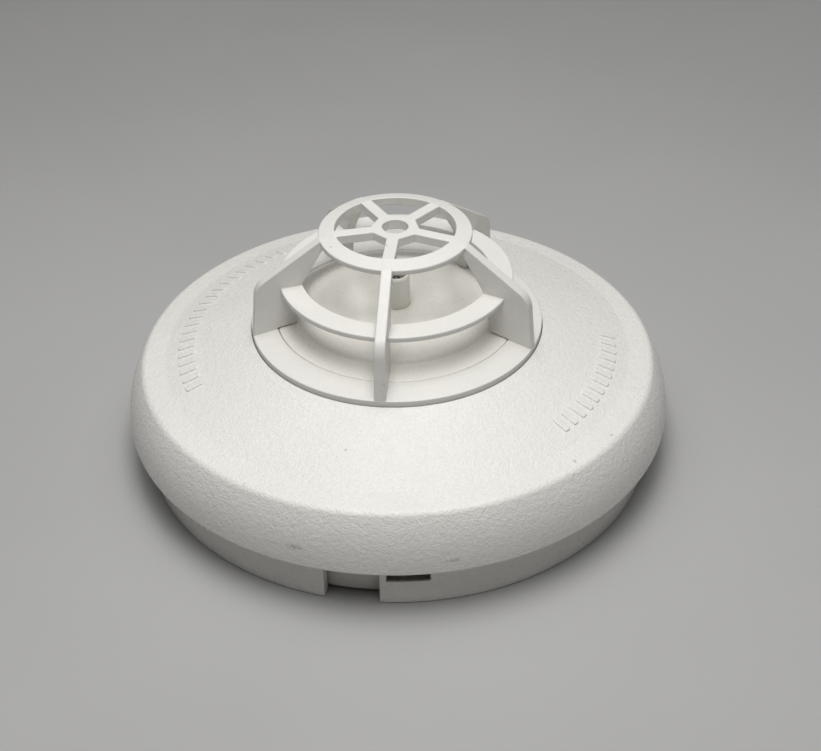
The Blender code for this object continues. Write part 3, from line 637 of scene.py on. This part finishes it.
def make_looks():
    label_low, label_high = box_mm("back_label")
    return {
        "cover_plastic": moulded("Cover plastic", rgb(0.845, 0.835, 0.80), 0.31, 0.42, 0.26, 0.20,
                                 spots=COVER_SPOTS),
        "cage_plastic": moulded("Cage plastic", rgb(0.80, 0.793, 0.755), 0.38, 0.35, 0.030,
                                dust_and_shade=0.15, spots=CAGE_SPOTS),
        "floor_plastic": moulded("Floor plastic", rgb(0.91, 0.89, 0.835), 0.30, 0.25, 0.012,
                                 dust_and_shade=0.12),
        # the chassis's strong, far-reaching corner darkening is painted shade that makes its
        # slots and inside look dark
        "chassis_plastic": moulded("Chassis plastic", rgb(0.72, 0.71, 0.68), 0.48, 0.28, 0.020,
                                   dust_and_shade=0.9, reach=8.0),
        "seal_rubber": rubber("Seal rubber"),
        "bead_epoxy": resin("Bead epoxy", rgb(0.022, 0.022, 0.026), 0.32, 0.5, 0.02, 0.5),
        "wire_steel": plated("Tinned wire", rgb(0.66, 0.65, 0.62), rgb(0.42, 0.41, 0.39), 0.30,
                             0.2, (1.0, 1.0, 0.15)),
        "screw_steel": plated("Zinc plate", rgb(0.63, 0.64, 0.66), rgb(0.46, 0.43, 0.36), 0.30,
                              0.35),
        "contact_brass": plated("Rolled brass", rgb(0.80, 0.62, 0.30), rgb(0.50, 0.34, 0.16),
                                0.28, 0.25, (1.0, 1.0, 6.0)),
        "board_laminate": laminate("Solder mask"),
        "chip_resin": resin("Chip resin", rgb(0.022, 0.022, 0.024), 0.58, 0.15, 0.010, 0.0),
        "can_aluminium": plated("Can aluminium", rgb(0.80, 0.80, 0.81), rgb(0.62, 0.62, 0.62),
                                0.26, 0.30, (0.2, 0.2, 4.0)),
        "varistor_coat": resin("Varistor coat", rgb(0.04, 0.13, 0.42), 0.30, 0.9, 0.04, 0.7),
        "reed_glass": glass("Reed glass"),
        "label_film": film("Label film", label_low, label_high),
    }


# ---------------------------------------------------------------- pieces

def cone_height(radius):
    top = box_mm("outer_cover")[1].z
    return top - (radius - HOLE_RADIUS) * math.tan(math.radians(CONE_ANGLE))


def cover_outline():
    low, high = box_mm("outer_cover")
    cone, land = math.radians(CONE_ANGLE), math.radians(LAND_ANGLE)
    land_start_z = cone_height(LAND_START_RADIUS)
    land_end_z = land_start_z - (LAND_END_RADIUS - LAND_START_RADIUS) * math.tan(land)
    roll_center = (LAND_END_RADIUS - ROLL_RADIUS * math.sin(land),
                   land_end_z - ROLL_RADIUS * math.cos(land))
    side_angle = 90.0 - SIDE_START_ANGLE
    roll = arc(roll_center, ROLL_RADIUS, 90.0 - LAND_ANGLE, side_angle, 14)
    start = math.radians(side_angle)
    side_radius = (high.x - roll[-1][0]) / (1.0 - math.cos(start))
    side_center = (high.x - side_radius, roll[-1][1] - side_radius * math.sin(start))
    side = arc(side_center, side_radius, side_angle, 0.0, 16)
    inner_side = arc(side_center, side_radius - COVER_WALL, 0.0, side_angle, 12)
    mean = (cone + land) / 2
    inner_land = (LAND_START_RADIUS - COVER_WALL * math.sin(mean),
                  land_start_z - COVER_WALL * math.cos(mean), 2.0)
    under = high.z - COVER_WALL / math.cos(cone)
    mouth = BASE_RING_OUTER + SNUG
    outline = [(mouth, high.z, 0.12), (LAND_START_RADIUS, land_start_z, 4.0)] + roll + side[1:]
    outline += [(high.x, low.z, 0.35), (high.x - COVER_WALL, low.z, 0.25)]
    return outline + inner_side + [inner_land, (mouth, under, 0.25)]


def build_cover():
    low, high = box_mm("outer_cover")
    bm = bmesh.new()
    add_turned(bm, soften(cover_outline()), FINE_STEPS)
    cover = link("fine_cover", bm)
    inner = box_mm("mount_skirt")[1].x + GAP
    outer = high.x - COVER_WALL + RIB_ROOT
    bm = bmesh.new()
    for azimuth in azimuths(RIB_COUNT, RIB_FIRST_AZIMUTH):
        outline = [(inner, -RIB_WIDTH / 2), (outer, -RIB_WIDTH / 2),
                   (outer, RIB_WIDTH / 2), (inner, RIB_WIDTH / 2)]
        add_slab(bm, outline, low.z + RIB_LIFT, RIB_TOP_Z,
                 Matrix.Rotation(math.radians(azimuth), 4, "Z"))
    round_edges(bm, 0.2, 2)
    combine(cover, link("ribs", bm), "UNION")
    dress(cover, "cover_plastic", "cover", ["outer_cover"])


def add_bar(bm, azimuth):
    """One plain raised bar lying on the cone, with soft ends and edges."""
    levels = ((-BAR_ROOT, 0.0), (BAR_HEIGHT * 0.55, 0.0), (BAR_HEIGHT * 0.9, 0.06),
              (BAR_HEIGHT, 0.16))
    x, y = polar(BAR_RADIUS, azimuth)
    turn = Matrix.Translation(Vector((x, y, cone_height(BAR_RADIUS))) * MM)
    turn = turn @ Matrix.Rotation(math.radians(azimuth), 4, "Z")
    turn = turn @ Matrix.Rotation(math.radians(CONE_ANGLE), 4, "Y")
    rings = []
    for height, inset in levels:
        long_half = BAR_LENGTH / 2 - inset
        half = BAR_WIDTH / 2 - inset
        corners = [(sx * long_half, sy * half, min(half, BAR_ROUND))
                   for sx, sy in ((1, 1), (-1, 1), (-1, -1), (1, -1))]
        rings.append([bm.verts.new(turn @ (Vector((px, py, height)) * MM))
                      for px, py in soften(corners, 4)])
    for lower, upper in zip(rings, rings[1:]):
        for index in range(len(lower)):
            after = (index + 1) % len(lower)
            bm.faces.new((lower[index], lower[after], upper[after], upper[index]))
    bm.faces.new(rings[0])
    bm.faces.new(rings[-1])


def build_bars():
    for number, (first, last) in enumerate(BAR_ROWS, start=1):
        length = math.radians(last - first) * BAR_RADIUS
        count = int(length / BAR_SPACING) + 1
        bm = bmesh.new()
        for index in range(count):
            add_bar(bm, first + (last - first) * index / (count - 1))
        dress(link(f"raised_bars_{number}", bm), "cover_plastic", "cover")


def add_upright(bm, outline, thickness):
    """Five upright slabs, one at each fin, from an outline of (radius, height, fillet)."""
    stand_up = Matrix.Rotation(math.radians(90.0), 4, "X")
    for azimuth in azimuths(FIN_COUNT, FIN_FIRST_AZIMUTH):
        add_slab(bm, soften(outline, 6), -thickness / 2, thickness / 2,
                 Matrix.Rotation(math.radians(azimuth), 4, "Z") @ stand_up)


def build_cage():
    low, high = box_mm("cage")
    flange_radius, flange_foot, top = high.x, low.z, high.z
    wall_inner = BASE_RING_OUTER - BASE_RING_WALL
    bm = bmesh.new()
    add_turned(bm, soften([
        (BASE_RING_INNER, BASE_RING_INNER_Z, 0.15), (BASE_RING_OUTER, BASE_RING_OUTER_Z, 0.15),
        (BASE_RING_OUTER, FLANGE_TOP_Z, 0.0), (flange_radius, FLANGE_TOP_Z, 0.2),
        (flange_radius, flange_foot, 0.2), (wall_inner, flange_foot, 0.2),
        (wall_inner, BASE_RING_UNDER_Z, 0.0), (BASE_RING_INNER, BASE_RING_UNDER_Z, 0.2)]),
        MID_STEPS)
    cage = link("fine_cage", bm)

    inset = CAGE_INSET
    fin_foot = BASE_RING_OUTER_Z - FIN_FOOT_DEPTH
    bm = bmesh.new()
    add_upright(bm, [
        (FIN_TONGUE_RADIUS, top - inset, 0.0), (TOP_RING_INNER, top - inset, 0.0),
        (TOP_RING_OUTER - inset, TOP_RING_OUTER_Z + 0.1, 0.6), FIN_SHOULDER,
        (BASE_RING_OUTER - inset, fin_foot, 0.0), (BASE_RING_INNER + 1.0, fin_foot, 0.0),
        (BASE_RING_INNER, BASE_RING_INNER_Z + SNUG, 0.0), *FIN_INNER_EDGE,
        (FIN_NECK_RADIUS, TOP_RING_FOOT_Z + inset, 0.8),
        (FIN_TONGUE_RADIUS, TOP_RING_FOOT_Z + inset, 0.0)], FIN_THICKNESS)
    round_edges(bm, FIN_EDGE, 3)
    combine(cage, link("fins", bm), "UNION")

    hub_edge = HUB_HOLE_RADIUS + HUB_MARGIN
    spoke_end = TOP_RING_INNER + SPOKE_LAP
    bm = bmesh.new()
    add_upright(bm, [
        (hub_edge, top, 0.0), (TOP_RING_INNER, top, 0.0), (spoke_end, top - SPOKE_LAP_DROP, 0.0),
        (spoke_end, TOP_RING_FOOT_Z, 0.0), (hub_edge, TOP_RING_FOOT_Z, 0.0)], SPOKE_THICKNESS)
    round_edges(bm, CAGE_EDGE, 3)
    combine(cage, link("spokes", bm), "UNION")

    bm = bmesh.new()
    add_turned(bm, soften([
        (PLATE_INNER, PLATE_INNER_Z, 0.2), (PLATE_OUTER, PLATE_OUTER_Z, 0.3),
        (PLATE_OUTER, PLATE_FOOT_Z, 0.25), (PLATE_INNER, PLATE_FOOT_Z, 0.2)]), MID_STEPS)
    add_turned(bm, soften([
        (TOP_RING_INNER, top - inset, 0.2), (TOP_RING_OUTER, TOP_RING_OUTER_Z, 0.25),
        (TOP_RING_OUTER, TOP_RING_FOOT_Z, 0.2), (TOP_RING_INNER, TOP_RING_FOOT_Z, 0.2)]),
        MID_STEPS)
    combine(cage, link("rings", bm), "UNION")

    bm = bmesh.new()
    corners = [(*polar(HUB_CORNER_RADIUS, azimuth), HUB_CORNER_ROUND)
               for azimuth in azimuths(FIN_COUNT, FIN_FIRST_AZIMUTH)]
    add_slab(bm, soften(corners), TOP_RING_FOOT_Z, top)
    round_edges(bm, CAGE_EDGE, 3)
    combine(cage, link("hub", bm), "UNION")
    hole = (0.0, 0.0, HUB_HOLE_RADIUS, TOP_RING_FOOT_Z - CUT_MARGIN, top + CUT_MARGIN)
    drill(cage, [hole], TUBE_STEPS)
    dress(cage, "cage_plastic", "head", ["cage"])


def build_seal():
    low, high = box_mm("cage_seal")
    slope = math.tan(math.radians(CONE_ANGLE))
    inner = BASE_RING_OUTER + SEAL_CLEARANCE
    drop = slope * (high.x - inner)
    turned("fine_seal", [(inner, high.z, 0.3), (high.x, high.z - drop, 0.3),
                         (high.x, low.z, 0.3), (inner, low.z, 0.3)],
           "seal_rubber", "head", ["cage_seal"], MID_STEPS)


def build_sensor_floor():
    low, high = box_mm("sensor_floor")
    lip_z = BASE_RING_UNDER_Z - GAP
    edge = BASE_RING_INNER - SNUG
    bore = TUBE_RADIUS + TUBE_FIT
    roll = arc((STAGE_RADIUS, high.z - STAGE_ROLL_DROP), STAGE_ROLL_WIDTH, 90.0, STAGE_ROLL_END,
               14, STAGE_ROLL_DROP / STAGE_ROLL_WIDTH)
    outline = [(bore, high.z, 0.1)] + roll[:-1] + [
        (CREASE_RADIUS, CREASE_Z, 0.0), (edge, FLOOR_EDGE_Z, 0.35), (edge, lip_z, 0.0),
        (high.x, lip_z, 0.2), (high.x, lip_z - FLOOR_WALL, 0.2),
        (edge - FLOOR_WALL, lip_z - FLOOR_WALL, 0.0),
        (edge - FLOOR_WALL, FLOOR_EDGE_Z - FLOOR_WALL, 0.0),
        (CREASE_RADIUS - FLOOR_WALL, CREASE_Z - FLOOR_WALL, 0.0),
        (STAGE_RADIUS, high.z - FLOOR_WALL, 0.0), (bore, high.z - FLOOR_WALL, 0.0)]
    bm = bmesh.new()
    add_turned(bm, soften(outline), MID_STEPS)
    floor = link("fine_sensor_floor", bm)
    bm = bmesh.new()
    for azimuth in azimuths(LEG_COUNT, 0.0):
        x, y = polar(LEG_CIRCLE, azimuth)
        ring = [polar(LEG_RADIUS, side) for side in azimuths(SMALL_STEPS, 0.0)]
        add_slab(bm, [(x + px, y + py) for px, py in ring], low.z, lip_z - FLOOR_WALL / 2)
    round_edges(bm, 0.2, 2)
    combine(floor, link("legs", bm), "UNION")
    dress(floor, "floor_plastic", "head", ["sensor_floor"])


def build_probe():
    low, high = box_mm("probe_tube")
    collar_foot = COLLAR_TOP_Z - COLLAR_THICKNESS
    turned("fine_probe_tube", [
        (TUBE_BORE + 0.2, high.z, 0.15), (TUBE_RADIUS - 0.25, high.z, 0.2),
        (TUBE_RADIUS, high.z - TUBE_CHAMFER, 0.3), (TUBE_RADIUS, COLLAR_TOP_Z, 0.0),
        (high.x, COLLAR_TOP_Z, 0.2), (high.x, collar_foot, 0.2), (TUBE_RADIUS, collar_foot, 0.0),
        (TUBE_RADIUS, low.z, 0.15), (TUBE_BORE, low.z, 0.15),
        (TUBE_BORE, high.z - TUBE_CHAMFER, 0.15)],
        "floor_plastic", "head", ["probe_tube"], TUBE_STEPS)
    low, high = box_mm("thermistor_bead")
    center = (low + high) / 2
    bead = arc((0.0, 0.0), high.x, 90.0, -90.0, 24, (high.z - low.z) / (high.x - low.x))
    bead[0] = (0.0, bead[0][1], 0.0)
    bead[-1] = (0.0, bead[-1][1], 0.0)
    turned("fine_thermistor_bead", bead, "bead_epoxy", "head", ["thermistor_bead"], SMALL_STEPS,
           center)


def sector(inner, outer, start, span, steps=16):
    outside = [polar(outer, start + span * index / steps) for index in range(steps + 1)]
    inside = [polar(inner, start + span * index / steps) for index in range(steps, -1, -1)]
    return outside + inside


def cut_sectors(item, inner, outer, pockets):
    """Cut each (start, span, low, high) pocket at every bayonet entry."""
    bm = bmesh.new()
    for offset in azimuths(ENTRY_COUNT, 0.0):
        for start, span, low, high in pockets:
            add_slab(bm, sector(inner, outer, start + offset, span), low, high)
    combine(item, link("pockets", bm), "DIFFERENCE")


def build_skirt():
    low, high = box_mm("mount_skirt")
    inner = high.x - SKIRT_WALL
    flange_foot = high.z - RING_FLANGE_THICKNESS
    bm = bmesh.new()
    add_turned(bm, soften([
        (RING_FLANGE_INNER, high.z, 0.3), (high.x, high.z, 0.3), (high.x, low.z, 0.4),
        (inner, low.z, 0.3), (inner, flange_foot, 0.0), (RING_FLANGE_INNER, flange_foot, 0.2)]),
        FINE_STEPS)
    skirt = link("fine_mount_skirt", bm)
    cut_sectors(skirt, inner - CUT_MARGIN, high.x + CUT_MARGIN, [
        (ENTRY_START, ENTRY_SPAN, low.z - CUT_MARGIN, ENTRY_TOP_Z),
        (SLOT_START, SLOT_SPAN, SLOT_FOOT_Z, ENTRY_TOP_Z)])
    cut_sectors(skirt, inner - CUT_MARGIN, high.x - SLOT_LIP, [
        (SLOT_START, SLOT_SPAN, SLOT_FOOT_Z - SLOT_RELIEF, ENTRY_TOP_Z)])
    drill(skirt, [(*polar(RING_SCREW_CIRCLE, azimuth), SCREW_HOLE, flange_foot - CUT_MARGIN,
                   high.z + CUT_MARGIN) for azimuth in azimuths(SCREW_COUNT, RING_SCREW_AZIMUTH)])
    dress(skirt, "cover_plastic", "head", ["mount_skirt"])


def build_chassis():
    low, high = box_mm("chassis")
    outer = high.x
    inner = outer - CHASSIS_WALL
    ring_top = box_mm("mount_skirt")[1].z - RING_FLANGE_THICKNESS - GAP
    board_foot = box_mm("circuit_board")[0].z
    bm = bmesh.new()
    add_turned(bm, soften([
        (inner, ring_top, 0.25), (outer, ring_top, 0.25), (outer, low.z, 0.3),
        (inner, low.z, 0.3), (inner, CHASSIS_FLOOR_Z, 0.5), (0.0, CHASSIS_FLOOR_Z, 0.0),
        (0.0, CHASSIS_FLOOR_TOP_Z, 0.0), (inner, CHASSIS_FLOOR_TOP_Z, 0.5)]), FINE_STEPS)
    chassis = link("fine_chassis", bm)
    posts = [(*polar(RING_SCREW_CIRCLE, azimuth), RING_BOSS_RADIUS, ring_top)
             for azimuth in azimuths(SCREW_COUNT, RING_SCREW_AZIMUTH)]
    posts += [(*polar(POST_CIRCLE, azimuth), POST_RADIUS, board_foot - GAP)
              for azimuth in azimuths(SCREW_COUNT, POST_AZIMUTH)]
    bm = bmesh.new()
    for x, y, radius, top in posts:
        ring = [polar(radius, side) for side in azimuths(SMALL_STEPS, 0.0)]
        add_slab(bm, [(x + px, y + py) for px, py in ring], CHASSIS_FLOOR_TOP_Z - POST_ROOT, top)
    combine(chassis, link("posts", bm), "UNION")
    cut_sectors(chassis, SLOT_BACK_RADIUS, outer + CUT_MARGIN, [
        (SLOT_START, SLOT_SPAN, SLOT_FOOT_Z - SLOT_RELIEF, ENTRY_TOP_Z)])
    holes = [(x, y, SCREW_HOLE, CHASSIS_FLOOR_TOP_Z + PILOT_LIFT, top + CUT_MARGIN)
             for x, y, radius, top in posts]
    holes += [(*polar(CONTACT_CIRCLE, azimuth), RIVET_RADIUS + GAP,
               CHASSIS_FLOOR_Z - CUT_MARGIN, CHASSIS_FLOOR_TOP_Z + CUT_MARGIN)
              for azimuth in azimuths(CONTACT_COUNT, CONTACT_AZIMUTH)]
    drill(chassis, holes)
    dress(chassis, "chassis_plastic", "head", ["chassis"])


def add_cross(bm, x, y, low, high):
    """The cross-shaped tool that cuts the recess of a screw."""
    arm, half = CROSS_ARM, CROSS_HALF
    outline = [(arm, -half), (arm, half), (half, half), (half, arm), (-half, arm), (-half, half),
               (-arm, half), (-arm, -half), (-half, -half), (-half, -arm), (half, -arm),
               (half, -half)]
    add_slab(bm, [(x + px, y + py) for px, py in outline], low, high)


def build_screw(node):
    low, high = box_mm(node)
    head = (high.x - low.x) / 2
    x, y = (low.x + high.x) / 2, (low.y + high.y) / 2
    seat = high.z - SCREW_HEAD_HEIGHT
    bm = bmesh.new()
    add_turned(bm, soften([
        (0.0, high.z, 0.0), (head - 0.7, high.z, 0.3), (head, high.z - 0.8, 0.4),
        (head, seat, 0.1), (SCREW_SHANK, seat, 0.0), (SCREW_SHANK, low.z + SCREW_TIP, 0.2),
        (0.0, low.z, 0.0)]), SMALL_STEPS)
    bmesh.ops.translate(bm, vec=(x * MM, y * MM, 0.0), verts=bm.verts)
    screw = link(f"fine_{node}", bm)
    bm = bmesh.new()
    add_cross(bm, x, y, high.z - CROSS_DEPTH, high.z + CUT_MARGIN)
    combine(screw, link("cross", bm), "DIFFERENCE")
    dress(screw, "screw_steel", "head", [node])


def build_screws():
    for kind in ("ring", "board"):
        for number in range(1, SCREW_COUNT + 1):
            build_screw(f"{kind}_screw_{number}")


def build_board():
    low, high = box_mm("circuit_board")
    bm = bmesh.new()
    add_turned(bm, soften([(0.0, high.z, 0.0), (high.x, high.z, 0.15), (high.x, low.z, 0.15),
                           (0.0, low.z, 0.0)]), MID_STEPS)
    board = link("fine_circuit_board", bm)
    drill(board, [(*polar(POST_CIRCLE, azimuth), SCREW_HOLE, low.z - CUT_MARGIN,
                   high.z + CUT_MARGIN) for azimuth in azimuths(SCREW_COUNT, POST_AZIMUTH)])
    dress(board, "board_laminate", "head", ["circuit_board"])


def build_capacitor():
    low, high = box_mm("capacitor")
    radius, height = (high.x - low.x) / 2, high.z - low.z
    groove, depth = CAPACITOR_GROOVE_Z, CAPACITOR_GROOVE_DEPTH
    turned("fine_capacitor", [
        (0.0, height - 0.3, 0.0), (radius - 0.9, height - 0.3, 0.1), (radius - 0.8, height, 0.15),
        (radius, height, 0.5), (radius, groove + 0.5, 0.3), (radius - depth, groove, 0.3),
        (radius, groove - 0.5, 0.3), (radius, 0.0, 0.2), (0.0, 0.0, 0.0)],
        "can_aluminium", "head", ["capacitor"], SMALL_STEPS,
        ((low.x + high.x) / 2, (low.y + high.y) / 2, low.z))


def build_varistor():
    low, high = box_mm("varistor")
    radius, half = (high.z - low.z) / 2, VARISTOR_THICKNESS / 2
    tilt = Matrix.Rotation(math.radians(VARISTOR_AZIMUTH), 4, "Z") @ Matrix.Rotation(
        math.radians(90.0), 4, "X")
    turned("fine_varistor", [(0.0, half, 0.0), (radius, half, 1.1), (radius, -half, 1.1),
                             (0.0, -half, 0.0)], "varistor_coat", "head", ["varistor"],
           SMALL_STEPS, (low + high) / 2, tilt)


def build_reed_switch():
    low, high = box_mm("reed_switch")
    radius, half = (high.x - low.x) / 2, (high.y - low.y) / 2
    turned("fine_reed_switch", [(0.0, half, 0.0), (radius, half, radius * 0.95),
                                (radius, -half, radius * 0.95), (0.0, -half, 0.0)],
           "reed_glass", "head", ["reed_switch"], SMALL_STEPS, (low + high) / 2,
           Matrix.Rotation(math.radians(90.0), 4, "X"))


def build_microcontroller():
    low, high = box_mm("microcontroller")
    center = (low + high) / 2
    half = (high.x - low.x) / 2
    bm = bmesh.new()
    add_slab(bm, [(center.x + sx * half, center.y + sy * half)
                  for sx, sy in ((-1, -1), (1, -1), (1, 1), (-1, 1))], low.z, high.z)
    round_edges(bm, 0.2, 2)
    chip = link("fine_microcontroller", bm)
    drill(chip, [(center.x - DIMPLE_OFFSET, center.y + DIMPLE_OFFSET, DIMPLE_RADIUS,
                  high.z - DIMPLE_DEPTH, high.z + CUT_MARGIN)])
    dress(chip, "chip_resin", "head", ["microcontroller"])


def build_contacts():
    for number in range(1, CONTACT_COUNT + 1):
        node = f"contact_rivet_{number}"
        low, high = box_mm(node)
        head = (high.x - low.x) / 2
        seat = low.z + RIVET_HEAD_HEIGHT
        x, y = (low.x + high.x) / 2, (low.y + high.y) / 2
        turned(f"fine_{node}", [
            (0.0, high.z, 0.0), (RIVET_RADIUS, high.z, 0.3), (RIVET_RADIUS, seat, 0.0),
            (head, seat, 0.1), (head, (low.z + seat) / 2, 0.3), (head - 0.8, low.z, 0.4),
            (0.0, low.z, 0.0)], "contact_brass", "head", [node], SMALL_STEPS, (x, y, 0.0))


def dress_kept_nodes():
    """New materials on the CAD nodes whose shape is kept."""
    kept = {"back_label": "label_film", "thermistor_lead_1": "wire_steel",
            "thermistor_lead_2": "wire_steel", "reed_lead_1": "wire_steel",
            "reed_lead_2": "wire_steel"}
    for number in range(1, CONTACT_COUNT + 1):
        kept[f"contact_blade_{number}"] = "contact_brass"
    for node, slot in kept.items():
        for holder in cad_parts[node].material_slots:
            holder.material = looks[slot]


# ---------------------------------------------------------------- stage

def build_stage():
    n = Nodes("Pale floor")
    color = n.mix(n.span(n.noise(FLOOR_CLOUD, 3.0), 0.3, 0.7), rgb(*FLOOR_DARK),
                  rgb(*FLOOR_LIGHT))
    material = n.finish(color, FLOOR_ROUGHNESS)
    bm = bmesh.new()
    bmesh.ops.create_circle(bm, cap_ends=True, segments=64, radius=FLOOR_RADIUS)
    floor = link("floor", bm)
    floor.data.materials.append(material)

    world = bpy.data.worlds.new("Soft room")
    world.use_nodes = True
    background = world.node_tree.nodes["Background"]
    background.inputs["Color"].default_value = rgb(*ROOM_COLOR)
    background.inputs["Strength"].default_value = ROOM_LIGHT
    bpy.context.scene.world = world


def add_area(name, at, size, watts):
    light = bpy.data.lights.new(name, "AREA")
    light.shape = "RECTANGLE"
    light.size, light.size_y = size
    light.energy = watts
    light.color = LAMP_COLOR
    item = bpy.data.objects.new(name, light)
    item.location = at
    item.rotation_euler = (Vector(LAMP_AIM) - Vector(at)).to_track_quat("-Z", "Y").to_euler()
    bpy.context.scene.collection.objects.link(item)


def build_lights():
    add_area("Overhead lamp", LAMP_AT, LAMP_SIZE, LAMP_WATTS)
    add_area("Soft ceiling", CEILING_AT, CEILING_SIZE, CEILING_WATTS)


def build_camera():
    data = bpy.data.cameras.new("Camera")
    data.sensor_width = SENSOR_MM
    data.lens = LENS_MM
    data.clip_start = CLIP_START
    data.clip_end = CLIP_END
    camera = bpy.data.objects.new("Camera", data)
    at, aim = Vector(CAMERA_AT) * MM, Vector(CAMERA_AIM) * MM
    level = (aim - at).to_track_quat("-Z", "Y").to_matrix().to_4x4()
    roll = Matrix.Rotation(math.radians(CAMERA_ROLL), 4, "Z")
    camera.matrix_world = Matrix.Translation(at) @ level @ roll
    bpy.context.scene.collection.objects.link(camera)
    bpy.context.scene.camera = camera


bpy.context.scene.view_settings.view_transform = "Standard"
looks = make_looks()
build_camera()
build_stage()
build_lights()
build_cover()
build_bars()
build_cage()
build_seal()
build_sensor_floor()
build_probe()
build_skirt()
build_chassis()
build_screws()
build_board()
build_capacitor()
build_varistor()
build_reed_switch()
build_microcontroller()
build_contacts()
dress_kept_nodes()
